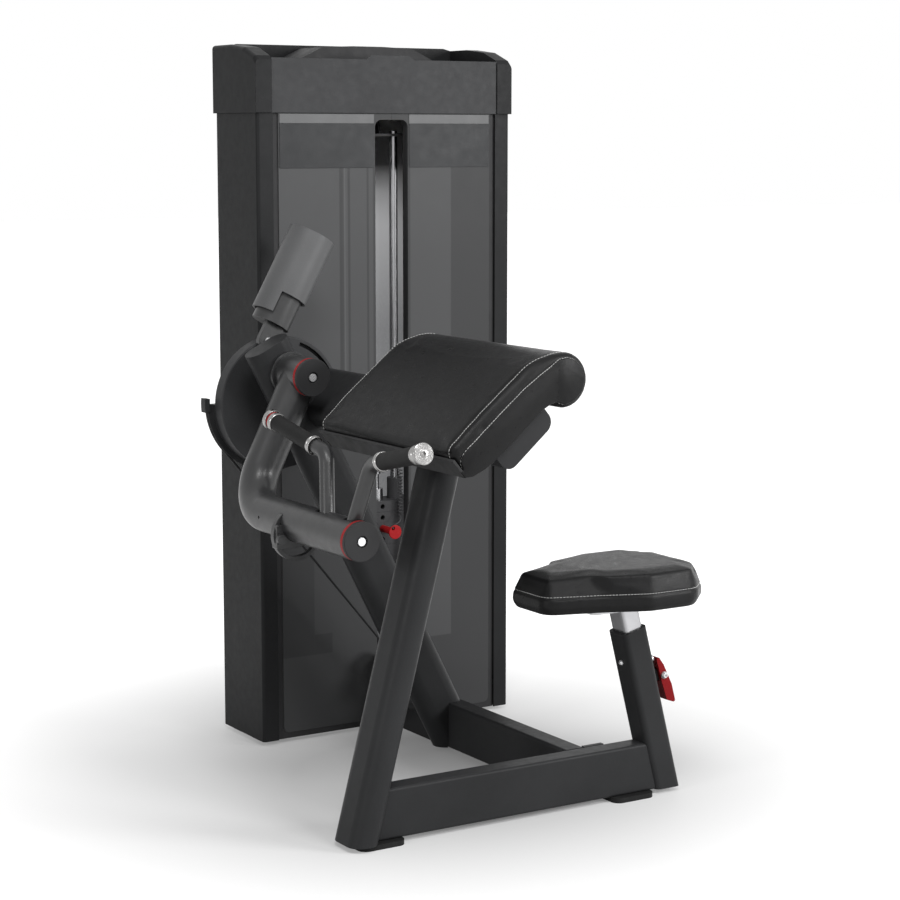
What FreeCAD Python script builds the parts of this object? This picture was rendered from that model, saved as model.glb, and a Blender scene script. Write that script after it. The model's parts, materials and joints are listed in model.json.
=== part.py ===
import FreeCAD, Part
import math
import os
from FreeCAD import Vector, Placement, Rotation

# Biceps curl machine. Lengths in millimetres, +Z up.
# The sizes count from the tower's left front corner: x to the right, y to the rear, z up from the floor.
# Every solid is moved at the end, so that the origin lies on the floor under the middle of the machine.
origin_x = 203.7
origin_y = -388.5

# Fits
running_fit = 0.05
surface_gap = 0.3
wide_gap = 2.0

# Tower shell
tower_width = 644.0
tower_depth = 198.0
shell_bottom = 10.0
shell_top = 1390.0
shell_wall = 4.0
cheek_width = 38.0
cheek_round = 7.0
panel_margin = 52.0
panel_bottom = 24.0
panel_recess = 2.0
panel_round = 14.0
slot_left = 292.0
slot_right = 376.0
slot_top = 1376.0
slot_bottom = 96.0
slot_round = 16.0
trim_depth = 18.0
trim_wall = 3.0
header_height = 20.0
placard_height = 96.0
placard_wall = 1.2
placard_margin = 3.0

# Crown
crown_overhang = 4.0
crown_front_height = 121.0
crown_rear_rise = 31.0
crown_cheek = 35.0
crown_cheek_rise = 126.0
crown_round = 9.0
crown_wall = 4.0
crown_floor_drop = 11.0
fascia_recess = 3.0
tab_centre = 332.0
tab_half_low = 60.0
tab_half_high = 46.0
tab_height = 9.0
tray_length = 190.0
tray_height = 38.0

crown_front_top = shell_top + crown_front_height
crown_rear_top = crown_front_top + crown_rear_rise
crown_floor = crown_front_top - crown_floor_drop

# Tower steelwork
base_tube = 60.0
base_height = 50.0
upright_width = 60.0
upright_depth = 40.0
upright_inset = 24.0
bar_bottom = 1340.0
top_bar_wall = 6.0

# Weight stack
stack_x = 328.0
stack_y = 70.0
plate_width = 250.0
plate_depth = 66.0
plate_pitch = 25.0
plate_gap = 0.3
stack_seat = 218.0
lower_plates = 9
carried_plates = 2
stack_top = stack_seat + plate_pitch * (1 + carried_plates + lower_plates)
guide_spacing = 100.0
guide_radius = 9.5
guide_hole_gap = 1.0
selector_radius = 8.0
pin_hole_radius = 5.5
pin_radius = 4.5
pin_ring_radius = 16.0
pin_ring_front = 20.0
bumper_height = 26.0
bumper_radius = 22.0
bush_radius = 17.0
bush_height = 48.0

# Cable and pulleys
cable_radius = 2.5
pulley_radius = 40.0
pulley_rim = 6.0
pulley_width = 16.0
pulley_axle = 8.0
cable_low_z = 130.0
cable_rear_y = 150.0
top_pulley_z = 1430.0
drive_y = -96.0
bracket_wall = 5.0
stanchion_width = 26.0
fork_height = 34.0
fork_radius = 12.0

# Base frame and posts
foot_height = 10.0
foot_long = 100.0
foot_wide = 80.0
foot_round = 18.0
tower_foot = 40.0
front_foot_x = -185.0
rear_foot_x = 407.0
tube_long = 100.0
tube_short = 48.0
tube_wall = 3.0
tube_round = 6.0
oval_long = 100.0
oval_short = 60.0
user_y = -722.0
link_left = 324.0
link_rear_y = -180.0
tongue_height = 50.0
joint_plate_depth = 10.0
cap_wall = 3.0
main_post_y = -223.0
main_post_foot_x = 362.0
main_post_angle = 27.0
main_post_above_hub = 54.0
front_post_foot_x = -175.5
front_post_angle = 14.65
seat_tube_foot_x = 548.0
seat_tube_angle = 14.6
seat_tube_size = 60.0
seat_tube_round = 12.0
seat_tube_top_z = 348.0

# Swinging arm
hub_x = -61.0
hub_z = 858.0
hub_radius = 38.6
axle_radius = 12.5
housing_radius = 24.0
flange_radius = 45.0
flange_width = 9.0
arm_angle = 26.0
arm_radius = 38.0
arm_wall = 4.0
arm_reach = 289.0
arm_bend = 92.0
arm_end_y = -757.0
accent_width = 8.0
cap_width = 8.0
cap_bolt_radius = 8.0
small_bolt_radius = 5.5
hoop_y = -515.0
hoop_width = 12.0
hoop_radius = 53.0
hoop_wall = 8.0
hoop_drop = 22.0
lug_left = 50.0
lug_right = 6.0
lug_low = 26.0
lug_high = 21.0
lug_front = 8.0
boss_radius = 10.0
boss_left = 42.0
boss_low = 6.0

# Cam and counterweight
cam_radius = 140.0
cam_width = 34.0
cam_front_y = -147.0
cam_shift_x = 37.0
cam_shift_z = -73.0
track_radius = 150.0
track_width = 14.0
track_start_angle = 180.0
track_end_angle = 345.0
anchor_angle = 186.0
anchor_length = 28.0
groove_start_angle = 5.0
groove_end_angle = 70.0
weight_y = -132.0
weight_angle = 29.0
weight_foot_x = -42.0
weight_foot_z = 950.0
weight_radius = 41.0
sleeve_radius = 50.0
sleeve_wall = 5.0
sleeve_start = 66.0
sleeve_length = 144.0
sleeve_tongue = 46.0
bar_wall = 12.0
bar_reach = 38.0
bar_width = 44.0

# Handles
shaft_radius = 27.0
rod_radius = 14.5
handle_y = -683.0
root_spread = 42.0
knee_spread = 86.0
knee_height = 143.6
knee_shift = 23.0
end_spread = 292.0
end_height = 188.0
end_shift = 11.0
handle_bend = 34.0
handle_swing_angle = 10.0
grip_radius = 16.5
grip_length = 133.0
collar_radius = 19.0
collar_width = 12.0
knob_width = 15.0
knob_radius = 20.5
bush_long = 26.0

# Arm pad
pad_width = 496.0
pad_low_x = -121.0
pad_low_z = 782.0
pad_angle = 40.3
pad_run = 266.0
pad_thick = 56.0
pad_roll = 52.0
roll_drop = 22.0
roll_start_angle = 50.0
roll_side_angle = -30.0
roll_end_angle = -135.0
pad_edge = 16.0
panel_thick = 5.0
skirt_depth = 80.0
crossbar_long = 134.0
crossbar_short = 58.0
crossbar_along = 134.0
crossbar_round = 22.0
pad_crown = 2.5
board_wall = 2.0
plate_wall = 4.0
crossbar_front = -962.0

# Seat
seat_bottom_z = 413.0
seat_skirt = 34.0
seat_rise = 44.0
seat_crown = 5.0
seat_inset = 16.0
seat_draw = 7.0
seat_nose_x = 210.0
seat_waist_x = 322.0
seat_wide_x = 420.0
seat_corner_x = 532.0
seat_rear_x = 590.0
seat_nose_half = 66.0
seat_waist_half = 98.0
seat_wide_half = 138.0
seat_rear_half = 80.0
seat_post_width = 50.0
seat_post_depth = 44.0
seat_plate_wall = 8.0
seat_round_small = 50.0
seat_round_large = 90.0
seat_post_round = 8.0
seat_post_hidden = 215.0
seat_holes = 8
seat_hole_pitch = 20.0
seat_drop = 40.0
seat_plate_half = 90.0
bush_depth = 60.0

# Seat lever and its lock pin
pin_below = 80.0
lock_radius = 5.0
lock_reach = 13.0
groove_depth = 4.0
lever_pivot_x = 545.0
lever_pivot_z = 245.0
lever_width = 22.0
lever_round = 4.0
lever_top = 54.0
lever_drop = 62.0
lever_pin_radius = 5.0
ear_half = 16.0
ear_reach = 34.0
tube_bolt_z = 289.0

# Lanyard
curl_turns = 14
curl_radius = 5.0
curl_pitch = 7.5
curl_x = 366.0
curl_y = 22.0
curl_top = 592.0
wire_radius = 1.1

parts = {}


def store(name, shape):
    """Adds a piece to its node."""
    parts.setdefault(name, []).extend(shape.Solids)


def box(x0, x1, y0, y1, z0, z1):
    return Part.makeBox(x1 - x0, y1 - y0, z1 - z0, Vector(x0, y0, z0))


def rod(start, end, radius):
    way = end.sub(start)
    return Part.makeCylinder(radius, way.Length, start, way)


def sleeve(start, end, outer, inner):
    return rod(start, end, outer).cut(rod(start, end, inner))


def prism(points, way):
    wire = Part.makePolygon(points + [points[0]])
    return Part.Face(wire).extrude(way)


def slab(outline, y0, y1):
    """Outline in x and z, filled from y0 to y1."""
    return prism([Vector(x, y0, z) for x, z in outline], Vector(0, y1 - y0, 0))


def rounded_wire(centre, across, up, width, height, radius):
    """Rectangle with round corners in the plane of two unit vectors."""
    edges = []
    last = None
    first = None
    for sx, sy, turn in ((1, 1, 0), (-1, 1, 90), (-1, -1, 180), (1, -1, 270)):
        middle = centre + across * (sx * (width / 2 - radius)) + up * (sy * (height / 2 - radius))
        corner = []
        for step in (0, 45, 90):
            angle = math.radians(turn + step)
            corner.append(middle + across * (radius * math.cos(angle)) + up * (radius * math.sin(angle)))
        if last is not None and last.distanceToPoint(corner[0]) > radius / 1000:
            edges.append(Part.makeLine(last, corner[0]))
        edges.append(Part.Arc(corner[0], corner[1], corner[2]).toShape())
        if first is None:
            first = corner[0]
        last = corner[2]
    if last.distanceToPoint(first) > radius / 1000:
        edges.append(Part.makeLine(last, first))
    return Part.Wire(edges)


def bar(start, end, across, width, height, radius):
    """Straight bar with a rounded section, its width along the given direction."""
    way = end.sub(start)
    up = way.cross(across).normalize()
    face = Part.Face(rounded_wire(start, across, up, width, height, radius))
    return face.extrude(way)


def hollow_bar(start, end, across, width, height, radius, wall):
    outer = bar(start, end, across, width, height, radius)
    inner = bar(start, end, across, width - 2 * wall, height - 2 * wall, radius - wall)
    return outer.cut(inner)


def bent_path(points, bend):
    """Wire through the points with every inner corner rounded."""
    edges = []
    here = points[0]
    for before, corner, after in zip(points, points[1:], points[2:]):
        back = before.sub(corner).normalize()
        ahead = after.sub(corner).normalize()
        half = back.getAngle(ahead) / 2
        reach = bend / math.tan(half)
        enter = corner + back * reach
        leave = corner + ahead * reach
        middle = corner + (back + ahead).normalize() * (bend / math.sin(half) - bend)
        edges.append(Part.makeLine(here, enter))
        edges.append(Part.Arc(enter, middle, leave).toShape())
        here = leave
    edges.append(Part.makeLine(here, points[-1]))
    return Part.Wire(edges)


def pipe(path, start, way, radius):
    ring = Part.Wire([Part.makeCircle(radius, start, way)])
    return path.makePipeShell([ring], True, False)


def bent_rod(points, bend, radius):
    path = bent_path(points, bend)
    return pipe(path, points[0], points[1].sub(points[0]), radius)


def spun(profile, centre, axis):
    """Radius and height pairs turned round an axis through the centre."""
    points = [Vector(r, 0, h) for r, h in profile]
    wire = Part.makePolygon(points + [points[0]])
    solid = Part.Face(wire).revolve(Vector(0, 0, 0), Vector(0, 0, 1), 360)
    solid.Placement = Placement(centre, Rotation(Vector(0, 0, 1), axis))
    return solid


def button_bolt(seat, out, radius):
    """Round bolt head on a seat, with its socket."""
    head = spun([(0, 0), (radius, 0), (radius, radius * 0.45), (radius * 0.6, radius), (0, radius)], seat,
                out)
    socket = rod(seat + out * (radius * 0.4), seat + out * (radius * 1.2), radius * 0.36)
    return head.cut(socket)


def together(solids):
    joined = []
    for solid in solids:
        joined.extend(solid.Solids)
    return Part.makeCompound(joined)


def lean(degrees):
    """Unit vector that leans to the left from the vertical."""
    return Vector(-math.sin(math.radians(degrees)), 0, math.cos(math.radians(degrees)))


def level_across(degrees):
    return Vector(math.cos(math.radians(degrees)), 0, math.sin(math.radians(degrees)))


x_way = Vector(1, 0, 0)
y_way = Vector(0, 1, 0)
z_way = Vector(0, 0, 1)
left_angle = 180.0
up_angle = 90.0
full_turn = 360.0


# Positions that several pieces share

def at_y(point, y):
    return Vector(point.x, y, point.z)


def post_point(foot_x, degrees, z):
    return Vector(foot_x - math.tan(math.radians(degrees)) * (z - foot_height), 0, z)


def pad_point(along, off, y):
    """Point on the arm pad: along its slope and off its top face."""
    angle = math.radians(pad_angle)
    x = pad_low_x + along * math.cos(angle) - off * math.sin(angle)
    z = pad_low_z + along * math.sin(angle) + off * math.cos(angle)
    return Vector(x, y, z)


def pad_slab(outline, y0, y1):
    return prism([pad_point(s, t, y0) for s, t in outline], Vector(0, y1 - y0, 0))


# Tower shell

def side_shroud():
    """Left cheek: a side wall with a return at the front and at the rear."""
    outer = box(0, cheek_width, 0, tower_depth, shell_bottom, shell_top)
    edges = [e for e in outer.Edges if is_upright(e) and e.Vertexes[0].X < shell_wall]
    outer = outer.makeFillet(cheek_round, edges)
    hollow = box(shell_wall, cheek_width + shell_wall, shell_wall, tower_depth - shell_wall,
                 shell_bottom - shell_wall, shell_top + shell_wall)
    return outer.cut(hollow)


def is_upright(edge):
    ends = [v.Point for v in edge.Vertexes]
    if len(ends) < 2:
        return False
    way = ends[1].sub(ends[0])
    return abs(way.z) > 0.999 * way.Length


def mirror_tower(shape):
    return shape.mirror(Vector(tower_width / 2, 0, 0), x_way)


def rear_shroud():
    return box(cheek_width + surface_gap, tower_width - cheek_width - surface_gap,
               tower_depth - shell_wall, tower_depth, shell_bottom, shell_top)


def panel(x0, x1, outer_x):
    """Front panel with its lower outer corner rounded."""
    plate = box(x0, x1, panel_recess, panel_recess + shell_wall, panel_bottom, shell_top - surface_gap)
    corner = [e for e in plate.Edges if is_corner(e, outer_x, panel_bottom)]
    return plate.makeFillet(panel_round, corner)


def is_corner(edge, x, z):
    return all(abs(v.X - x) < 1e-6 * tower_width and abs(v.Z - z) < 1e-6 * tower_width for v in edge.Vertexes)


def panel_channels():
    """Dark channels between the cheeks and the panels, which carry the panels."""
    left = box(cheek_width, slot_left, shell_wall + panel_recess, 3 * shell_wall, shell_bottom,
               panel_bottom + shell_wall)
    side = box(cheek_width, panel_margin + shell_wall, shell_wall + panel_recess, 3 * shell_wall,
               panel_bottom + shell_wall, shell_top - surface_gap)
    joined = left.fuse(side).removeSplitter()
    return together([largest(joined.cut(tongue_gap())), largest(mirror_tower(joined).cut(tongue_gap()))])


def slot_trim():
    """Bevelled frame round the weight stack's slot."""
    y0 = panel_recess + shell_wall + surface_gap
    y1 = y0 + trim_depth
    centre_x = (slot_left + slot_right) / 2
    centre_z = (slot_top + slot_bottom) / 2
    width = slot_right - slot_left
    height = slot_top - slot_bottom
    outer = Part.Face(rounded_wire(Vector(centre_x, y0, centre_z), x_way, z_way,
                                   width + 2 * trim_wall, height + 2 * trim_wall, slot_round + trim_wall))
    inner = Part.Face(rounded_wire(Vector(centre_x, y0 - trim_depth, centre_z), x_way, z_way,
                                   width, height, slot_round))
    return outer.extrude(Vector(0, trim_depth, 0)).cut(inner.extrude(Vector(0, 3 * trim_depth, 0)))


def slot_hole():
    centre = Vector((slot_left + slot_right) / 2, -trim_depth, (slot_top + slot_bottom) / 2)
    face = Part.Face(rounded_wire(centre, x_way, z_way, slot_right - slot_left, slot_top - slot_bottom,
                                  slot_round))
    return face.extrude(Vector(0, 3 * trim_depth, 0))


def front_panels():
    middle = (slot_left + slot_right) / 2
    cover = panel(panel_margin, middle - surface_gap, panel_margin).cut(slot_hole()).cut(tongue_gap())
    other = panel(middle, tower_width - panel_margin,
                  tower_width - panel_margin).cut(slot_hole()).cut(tongue_gap())
    store("front_panel_left", cover)
    store("front_panel_right", other)


def tongue_gap():
    """Room in the tower's front for the low beam that joins it to the machine."""
    return box(link_left - wide_gap, link_left + tube_short + wide_gap, -shell_wall, 4 * shell_wall, 0,
               foot_height + tongue_height + wide_gap)


def front_plates():
    """Header strips and the two placards, on the panels."""
    strips = []
    boards = []
    y1 = panel_recess
    y0 = y1 - placard_wall
    top = shell_top - wide_gap
    low = top - header_height
    spans = ((panel_margin + placard_margin, slot_left - placard_margin),
             (slot_right + placard_margin, tower_width - panel_margin - placard_margin))
    for x0, x1 in spans:
        strips.append(box(x0, x1, y0, y1, low, top))
        boards.append(box(x0, x1, y0, y1, low - surface_gap - placard_height, low - surface_gap))
    store("front_trim", together(strips))
    store("front_trim", together(boards))


# Crown

def crown_cheek_piece():
    """Left end of the crown: its top rises to the rear."""
    front = -crown_overhang
    rear = tower_depth + crown_overhang
    left = -crown_overhang
    points = [(front, shell_top), (front, crown_front_top - crown_round),
              (front + crown_round, crown_front_top),
              (0.28 * tower_depth, crown_front_top + 0.6 * (crown_rear_top - crown_front_top)),
              (crown_cheek_rise, crown_rear_top - 0.15 * (crown_rear_top - crown_front_top)),
              (rear, crown_rear_top - 0.15 * (crown_rear_top - crown_front_top)), (rear, shell_top)]
    solid = prism([Vector(left, y, z) for y, z in points], Vector(crown_cheek - left, 0, 0))
    outer_top = [e for e in solid.Edges if is_cheek_edge(e, left, shell_top)]
    solid = solid.makeFillet(crown_round, outer_top)
    hollow = box(0, crown_cheek + crown_wall, 0, tower_depth, shell_top - crown_wall,
                 crown_front_top - 4 * crown_wall)
    return solid.cut(hollow)


def is_cheek_edge(edge, x, low):
    ends = edge.Vertexes
    return all(abs(v.X - x) < 1e-6 * tower_width and v.Z > low + crown_wall for v in ends)


def crown_rear():
    """Rear wall of the crown, between the cheeks."""
    x0 = crown_cheek
    x1 = tower_width - crown_cheek
    rise = 0.15 * (crown_rear_top - crown_front_top)
    outline = [(x0, shell_top), (x0, crown_rear_top - rise), (x0 + 4 * rise, crown_rear_top),
               (x1 - 4 * rise, crown_rear_top), (x1, crown_rear_top - rise), (x1, shell_top)]
    return slab(outline, tower_depth, tower_depth + crown_overhang)


def crown_tray():
    """Floor of the crown between the cheeks, with the raised rest in its middle."""
    x0 = crown_cheek + surface_gap
    x1 = tower_width - crown_cheek - surface_gap
    floor = box(x0, x1, fascia_recess + crown_wall, tower_depth - surface_gap, crown_floor - crown_wall,
                crown_floor)
    middle = tower_width / 2
    outline = [(middle - tray_length, crown_floor), (middle - 0.6 * tray_length,
                                                     crown_floor + 0.92 * tray_height),
               (middle - 0.2 * tray_length, crown_floor + tray_height),
               (middle + 0.2 * tray_length, crown_floor + tray_height),
               (middle + 0.6 * tray_length, crown_floor + 0.92 * tray_height),
               (middle + tray_length, crown_floor)]
    rest = slab(outline, 0.42 * tower_depth, tower_depth - crown_round)
    return floor.fuse(rest).removeSplitter()


def crown_fascia():
    """Front face of the crown, with the raised tab in its top edge."""
    x0 = crown_cheek + surface_gap
    x1 = tower_width - crown_cheek - surface_gap
    top = crown_front_top - crown_overhang
    outline = [(x0, shell_top), (x0, top), (tab_centre - tab_half_low, top),
               (tab_centre - tab_half_high, top + tab_height),
               (tab_centre + tab_half_high, top + tab_height), (tab_centre + tab_half_low, top), (x1, top),
               (x1, shell_top)]
    front = fascia_recess - crown_overhang
    return slab(outline, front, front + crown_wall)


def crown():
    left = crown_cheek_piece()
    body = left.fuse(mirror_tower(left)).fuse(crown_rear())
    store("crown_shell", body.removeSplitter())
    store("crown_tray", crown_tray())
    store("crown_fascia", crown_fascia())


def tower_shell():
    left = side_shroud()
    store("side_shrouds", left)
    store("side_shrouds", mirror_tower(left))
    store("rear_shroud", rear_shroud())
    store("panel_channels", panel_channels())
    store("slot_trim", slot_trim())
    front_panels()
    front_plates()
    crown()


# Tower steelwork

def upright(x0):
    y1 = tower_depth - shell_wall - wide_gap
    outer = box(x0, x0 + upright_width, y1 - upright_depth, y1, foot_height + base_height, bar_bottom)
    inner = box(x0 + tube_wall, x0 + upright_width - tube_wall, y1 - upright_depth + tube_wall,
                y1 - tube_wall,
                foot_height, bar_bottom + base_height)
    return outer.cut(inner)


def tower_frame():
    """Base tubes, uprights and top bar behind the shell."""
    rear = tower_depth - shell_wall - wide_gap
    x0 = shell_wall + wide_gap
    x1 = tower_width - shell_wall - wide_gap
    low = foot_height
    high = foot_height + base_height
    cross = box(x0, x1, stack_y - base_tube / 2, stack_y + base_tube / 2, low, high)
    back = box(x0, x1, rear - upright_depth, rear, low, high)
    front = 3 * shell_wall
    side = box(x0, x0 + base_tube, front, rear, low, high)
    other = box(x1 - base_tube, x1, front, rear, low, high)
    base = cross.fuse([back, side, other]).removeSplitter()
    tongue = box(link_left, link_left + tube_short, link_rear_y, stack_y - base_tube / 2, low,
                 low + tongue_height)
    store("link_beam", tongue)
    store("tower_base", base)
    left = upright(upright_inset)
    bar_y = rear - upright_depth
    top = box(upright_inset, tower_width - upright_inset, stack_y - guide_radius * 3, rear, bar_bottom,
              bar_bottom + tube_wall * 2)
    passage = box(stack_x - pulley_rim * 3, stack_x + pulley_rim * 3, stack_y - pulley_rim * 2,
                  bar_y + pulley_rim * 4,
                  bar_bottom - tube_wall, bar_bottom + tube_wall * 4)
    top = top.cut(passage)
    for side_x in (-1, 1):
        x = stack_x + side_x * guide_spacing / 2
        top = top.cut(rod(Vector(x, stack_y, bar_bottom - tube_wall),
                          Vector(x, stack_y, bar_bottom + tube_wall * 4),
                          guide_radius + surface_gap))
    store("tower_frame", together([left, mirror_tower(left)]))
    store("tower_frame", top)


# Weight stack

def guide_x():
    return (stack_x - guide_spacing / 2, stack_x + guide_spacing / 2)


def plate(top):
    low = top - plate_pitch + plate_gap
    solid = box(stack_x - plate_width / 2, stack_x + plate_width / 2, stack_y - plate_depth / 2,
                stack_y + plate_depth / 2, low, top)
    for x in guide_x():
        solid = solid.cut(rod(Vector(x, stack_y, low - plate_gap), Vector(x, stack_y, top + plate_gap),
                              guide_radius + guide_hole_gap))
    solid = solid.cut(rod(Vector(stack_x, stack_y, low - plate_gap),
                          Vector(stack_x, stack_y, top + plate_gap),
                          selector_radius + guide_hole_gap))
    middle = top - plate_pitch / 2
    return solid.cut(rod(Vector(stack_x, stack_y - plate_depth, middle),
                         Vector(stack_x, stack_y + selector_radius * 2 + wide_gap, middle),
                         pin_hole_radius))


def pin_z():
    return stack_top - plate_pitch * (carried_plates + 0.5)


def weight_stack():
    store("head_plate", plate(stack_top))
    tops = [stack_top - plate_pitch * (i + 1) for i in range(carried_plates)]
    store("carried_plates", together([plate(z) for z in tops]))
    tops = [stack_top - plate_pitch * (1 + carried_plates + i) for i in range(lower_plates)]
    store("resting_plates", together([plate(z) for z in tops]))
    shaft = rod(Vector(stack_x, stack_y, stack_seat + plate_gap), Vector(stack_x, stack_y, fork_z()),
                selector_radius)
    z = pin_z()
    shaft = shaft.cut(rod(Vector(stack_x, stack_y - plate_depth, z),
                          Vector(stack_x, stack_y + plate_depth, z),
                          pin_radius + surface_gap))
    collar = rod(Vector(stack_x, stack_y, stack_top), Vector(stack_x, stack_y, stack_top + bumper_height),
                 bush_radius)
    store("selector_rod", shaft.fuse(collar).removeSplitter())
    rods = []
    bumpers = []
    risers = []
    bushes = []
    base = foot_height + base_height
    for x in guide_x():
        rods.append(rod(Vector(x, stack_y, base), Vector(x, stack_y, bar_bottom + 4 * tube_wall),
                        guide_radius))
        bumpers.append(sleeve(Vector(x, stack_y, stack_seat + plate_gap - bumper_height),
                              Vector(x, stack_y, stack_seat + plate_gap),
                              bumper_radius, guide_radius + surface_gap))
        risers.append(sleeve(Vector(x, stack_y, base), Vector(x, stack_y, stack_seat + plate_gap - bumper_height),
                             bumper_radius - tube_wall, guide_radius + surface_gap))
        bushes.append(sleeve(Vector(x, stack_y, stack_top), Vector(x, stack_y, stack_top + bush_height),
                             bush_radius, guide_radius + surface_gap))
    store("guide_rods", together(rods))
    store("stack_bumpers", together(bumpers))
    store("tower_base", together(risers))
    store("head_plate", together(bushes))
    selector_pin()


def fork_z():
    return stack_top + bumper_height + 2 * bush_radius


def selector_pin():
    z = pin_z()
    front = stack_y - plate_depth / 2
    shank = rod(Vector(stack_x, front - bush_radius, z), Vector(stack_x, stack_y + selector_radius * 2, z),
                pin_radius)
    store("selector_pin", shank)
    ring_y = -pin_ring_front
    barrel = rod(Vector(stack_x, ring_y, z), Vector(stack_x, front - surface_gap, z), pin_ring_radius / 2)
    head = rod(Vector(stack_x, ring_y, z), Vector(stack_x, ring_y + pin_radius, z), pin_ring_radius)
    head = head.makeFillet(pin_radius / 4, head.Edges)
    eye_x = stack_x - pin_ring_radius * 0.35
    eye_z = z + pin_ring_radius * 0.55
    eye = rod(Vector(eye_x, ring_y - pin_radius, eye_z), Vector(eye_x, ring_y + 2 * pin_radius, eye_z),
              pin_radius)
    bore = rod(Vector(stack_x, front - bush_radius, z), Vector(stack_x, front, z), pin_radius)
    store("pin_handle", barrel.fuse(head).removeSplitter().cut(bore).cut(eye))


# Cable and pulleys

def track_centre():
    return Vector(hub_x + cam_shift_x, drive_y, hub_z + cam_shift_z)


def track_point(degrees, y):
    angle = math.radians(degrees)
    centre = track_centre()
    return Vector(centre.x + track_radius * math.cos(angle), y, centre.z + track_radius * math.sin(angle))


def low_corner():
    return Vector(stack_x, drive_y, cable_low_z)


def drive_angle():
    """Angle on the track where the cable leaves it."""
    way = low_corner().sub(track_centre())
    toward = math.degrees(math.atan2(way.z, way.x))
    return toward - math.degrees(math.acos(track_radius / way.Length)) + full_turn


def drive_way():
    return low_corner().sub(track_point(drive_angle(), drive_y)).normalize()


def outer_pulley_centre():
    return low_corner() - drive_way() * pulley_radius + y_way * pulley_radius


def outer_pulley_axis():
    return drive_way().cross(y_way)


def inner_pulley_centre():
    return Vector(stack_x, cable_rear_y - pulley_radius, cable_low_z + pulley_radius)


def top_pulley_centre():
    return Vector(stack_x, cable_rear_y - pulley_radius, top_pulley_z)


def pulley(centre, axis):
    half = pulley_width / 2
    bottom = pulley_radius - cable_radius - surface_gap
    rim = pulley_radius + pulley_rim
    bore = pulley_axle + running_fit
    profile = [(bore, -half), (rim, -half), (rim, -half * 0.8), (bottom, -half * 0.4), (bottom, half * 0.4),
               (rim, half * 0.8), (rim, half), (bore, half)]
    return spun(profile, centre, axis)


def arc_edge(centre, first, last, radius):
    """Quarter or other arc round a centre from one unit direction to another."""
    middle = (first + last).normalize()
    return Part.Arc(centre + first * radius, centre + middle * radius, centre + last * radius).toShape()


def tower_path():
    """Cable from the outer low pulley, in through the slot, up behind the stack and over the top."""
    outer = outer_pulley_centre()
    inner = inner_pulley_centre()
    top = top_pulley_centre()
    down = z_way * -1
    front = y_way * -1
    start = front
    edges = [arc_edge(outer, start, drive_way(), pulley_radius)]
    edges.append(Part.makeLine(outer + drive_way() * pulley_radius, inner + down * pulley_radius))
    edges.append(arc_edge(inner, down, y_way, pulley_radius))
    edges.append(Part.makeLine(inner + y_way * pulley_radius, top + y_way * pulley_radius))
    edges.append(arc_edge(top, y_way, z_way, pulley_radius))
    edges.append(arc_edge(top, z_way, front, pulley_radius))
    return Part.Wire(edges)


def cables():
    outer = outer_pulley_centre()
    begin = outer - y_way * pulley_radius
    store("tower_cable", pipe(tower_path(), begin, drive_way(), cable_radius))
    leave = track_point(drive_angle(), drive_y)
    store("drive_cable", rod(leave, begin, cable_radius))
    top = top_pulley_centre()
    store("lift_cable", rod(Vector(stack_x, stack_y, fork_z() + fork_height), Vector(stack_x, stack_y, top.z),
                            cable_radius))
    first = track_point(anchor_angle, drive_y)
    middle = track_point((anchor_angle + drive_angle()) / 2, drive_y)
    path = Part.Wire([Part.Arc(first, middle, leave).toShape()])
    tangent = Vector(-math.sin(math.radians(anchor_angle)), 0, math.cos(math.radians(anchor_angle)))
    store("cam_cable", pipe(path, first, tangent, cable_radius))


def pulleys():
    store("low_pulley_outer", pulley(outer_pulley_centre(), outer_pulley_axis()))
    store("low_pulley_inner", pulley(inner_pulley_centre(), x_way))
    store("top_pulley", pulley(top_pulley_centre(), x_way))


def axle_pair(centre, axis):
    """Axle of a pulley, with the spacers that keep it between its cheeks."""
    reach = pulley_width / 2 + wide_gap + bracket_wall
    shaft = rod(centre - axis * reach, centre + axis * reach, pulley_axle)
    for side in (-1, 1):
        inner = centre + axis * (side * (pulley_width / 2 + surface_gap))
        outer = centre + axis * (side * (pulley_width / 2 + wide_gap))
        shaft = shaft.fuse(rod(inner, outer, pulley_axle * 1.4))
    return shaft.removeSplitter()


def cheeks(centre, axis, across, up, outline):
    """Two bracket plates either side of a pulley, from an outline in two directions."""
    plates = []
    for side in (-1, 1):
        near = centre + axis * (side * (pulley_width / 2 + wide_gap))
        points = [near + across * a + up * b for a, b in outline]
        plate_solid = prism(points, axis * (side * bracket_wall))
        plates.append(plate_solid.cut(rod(centre - axis * pulley_radius, centre + axis * pulley_radius,
                                          pulley_axle)))
    return plates


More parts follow.
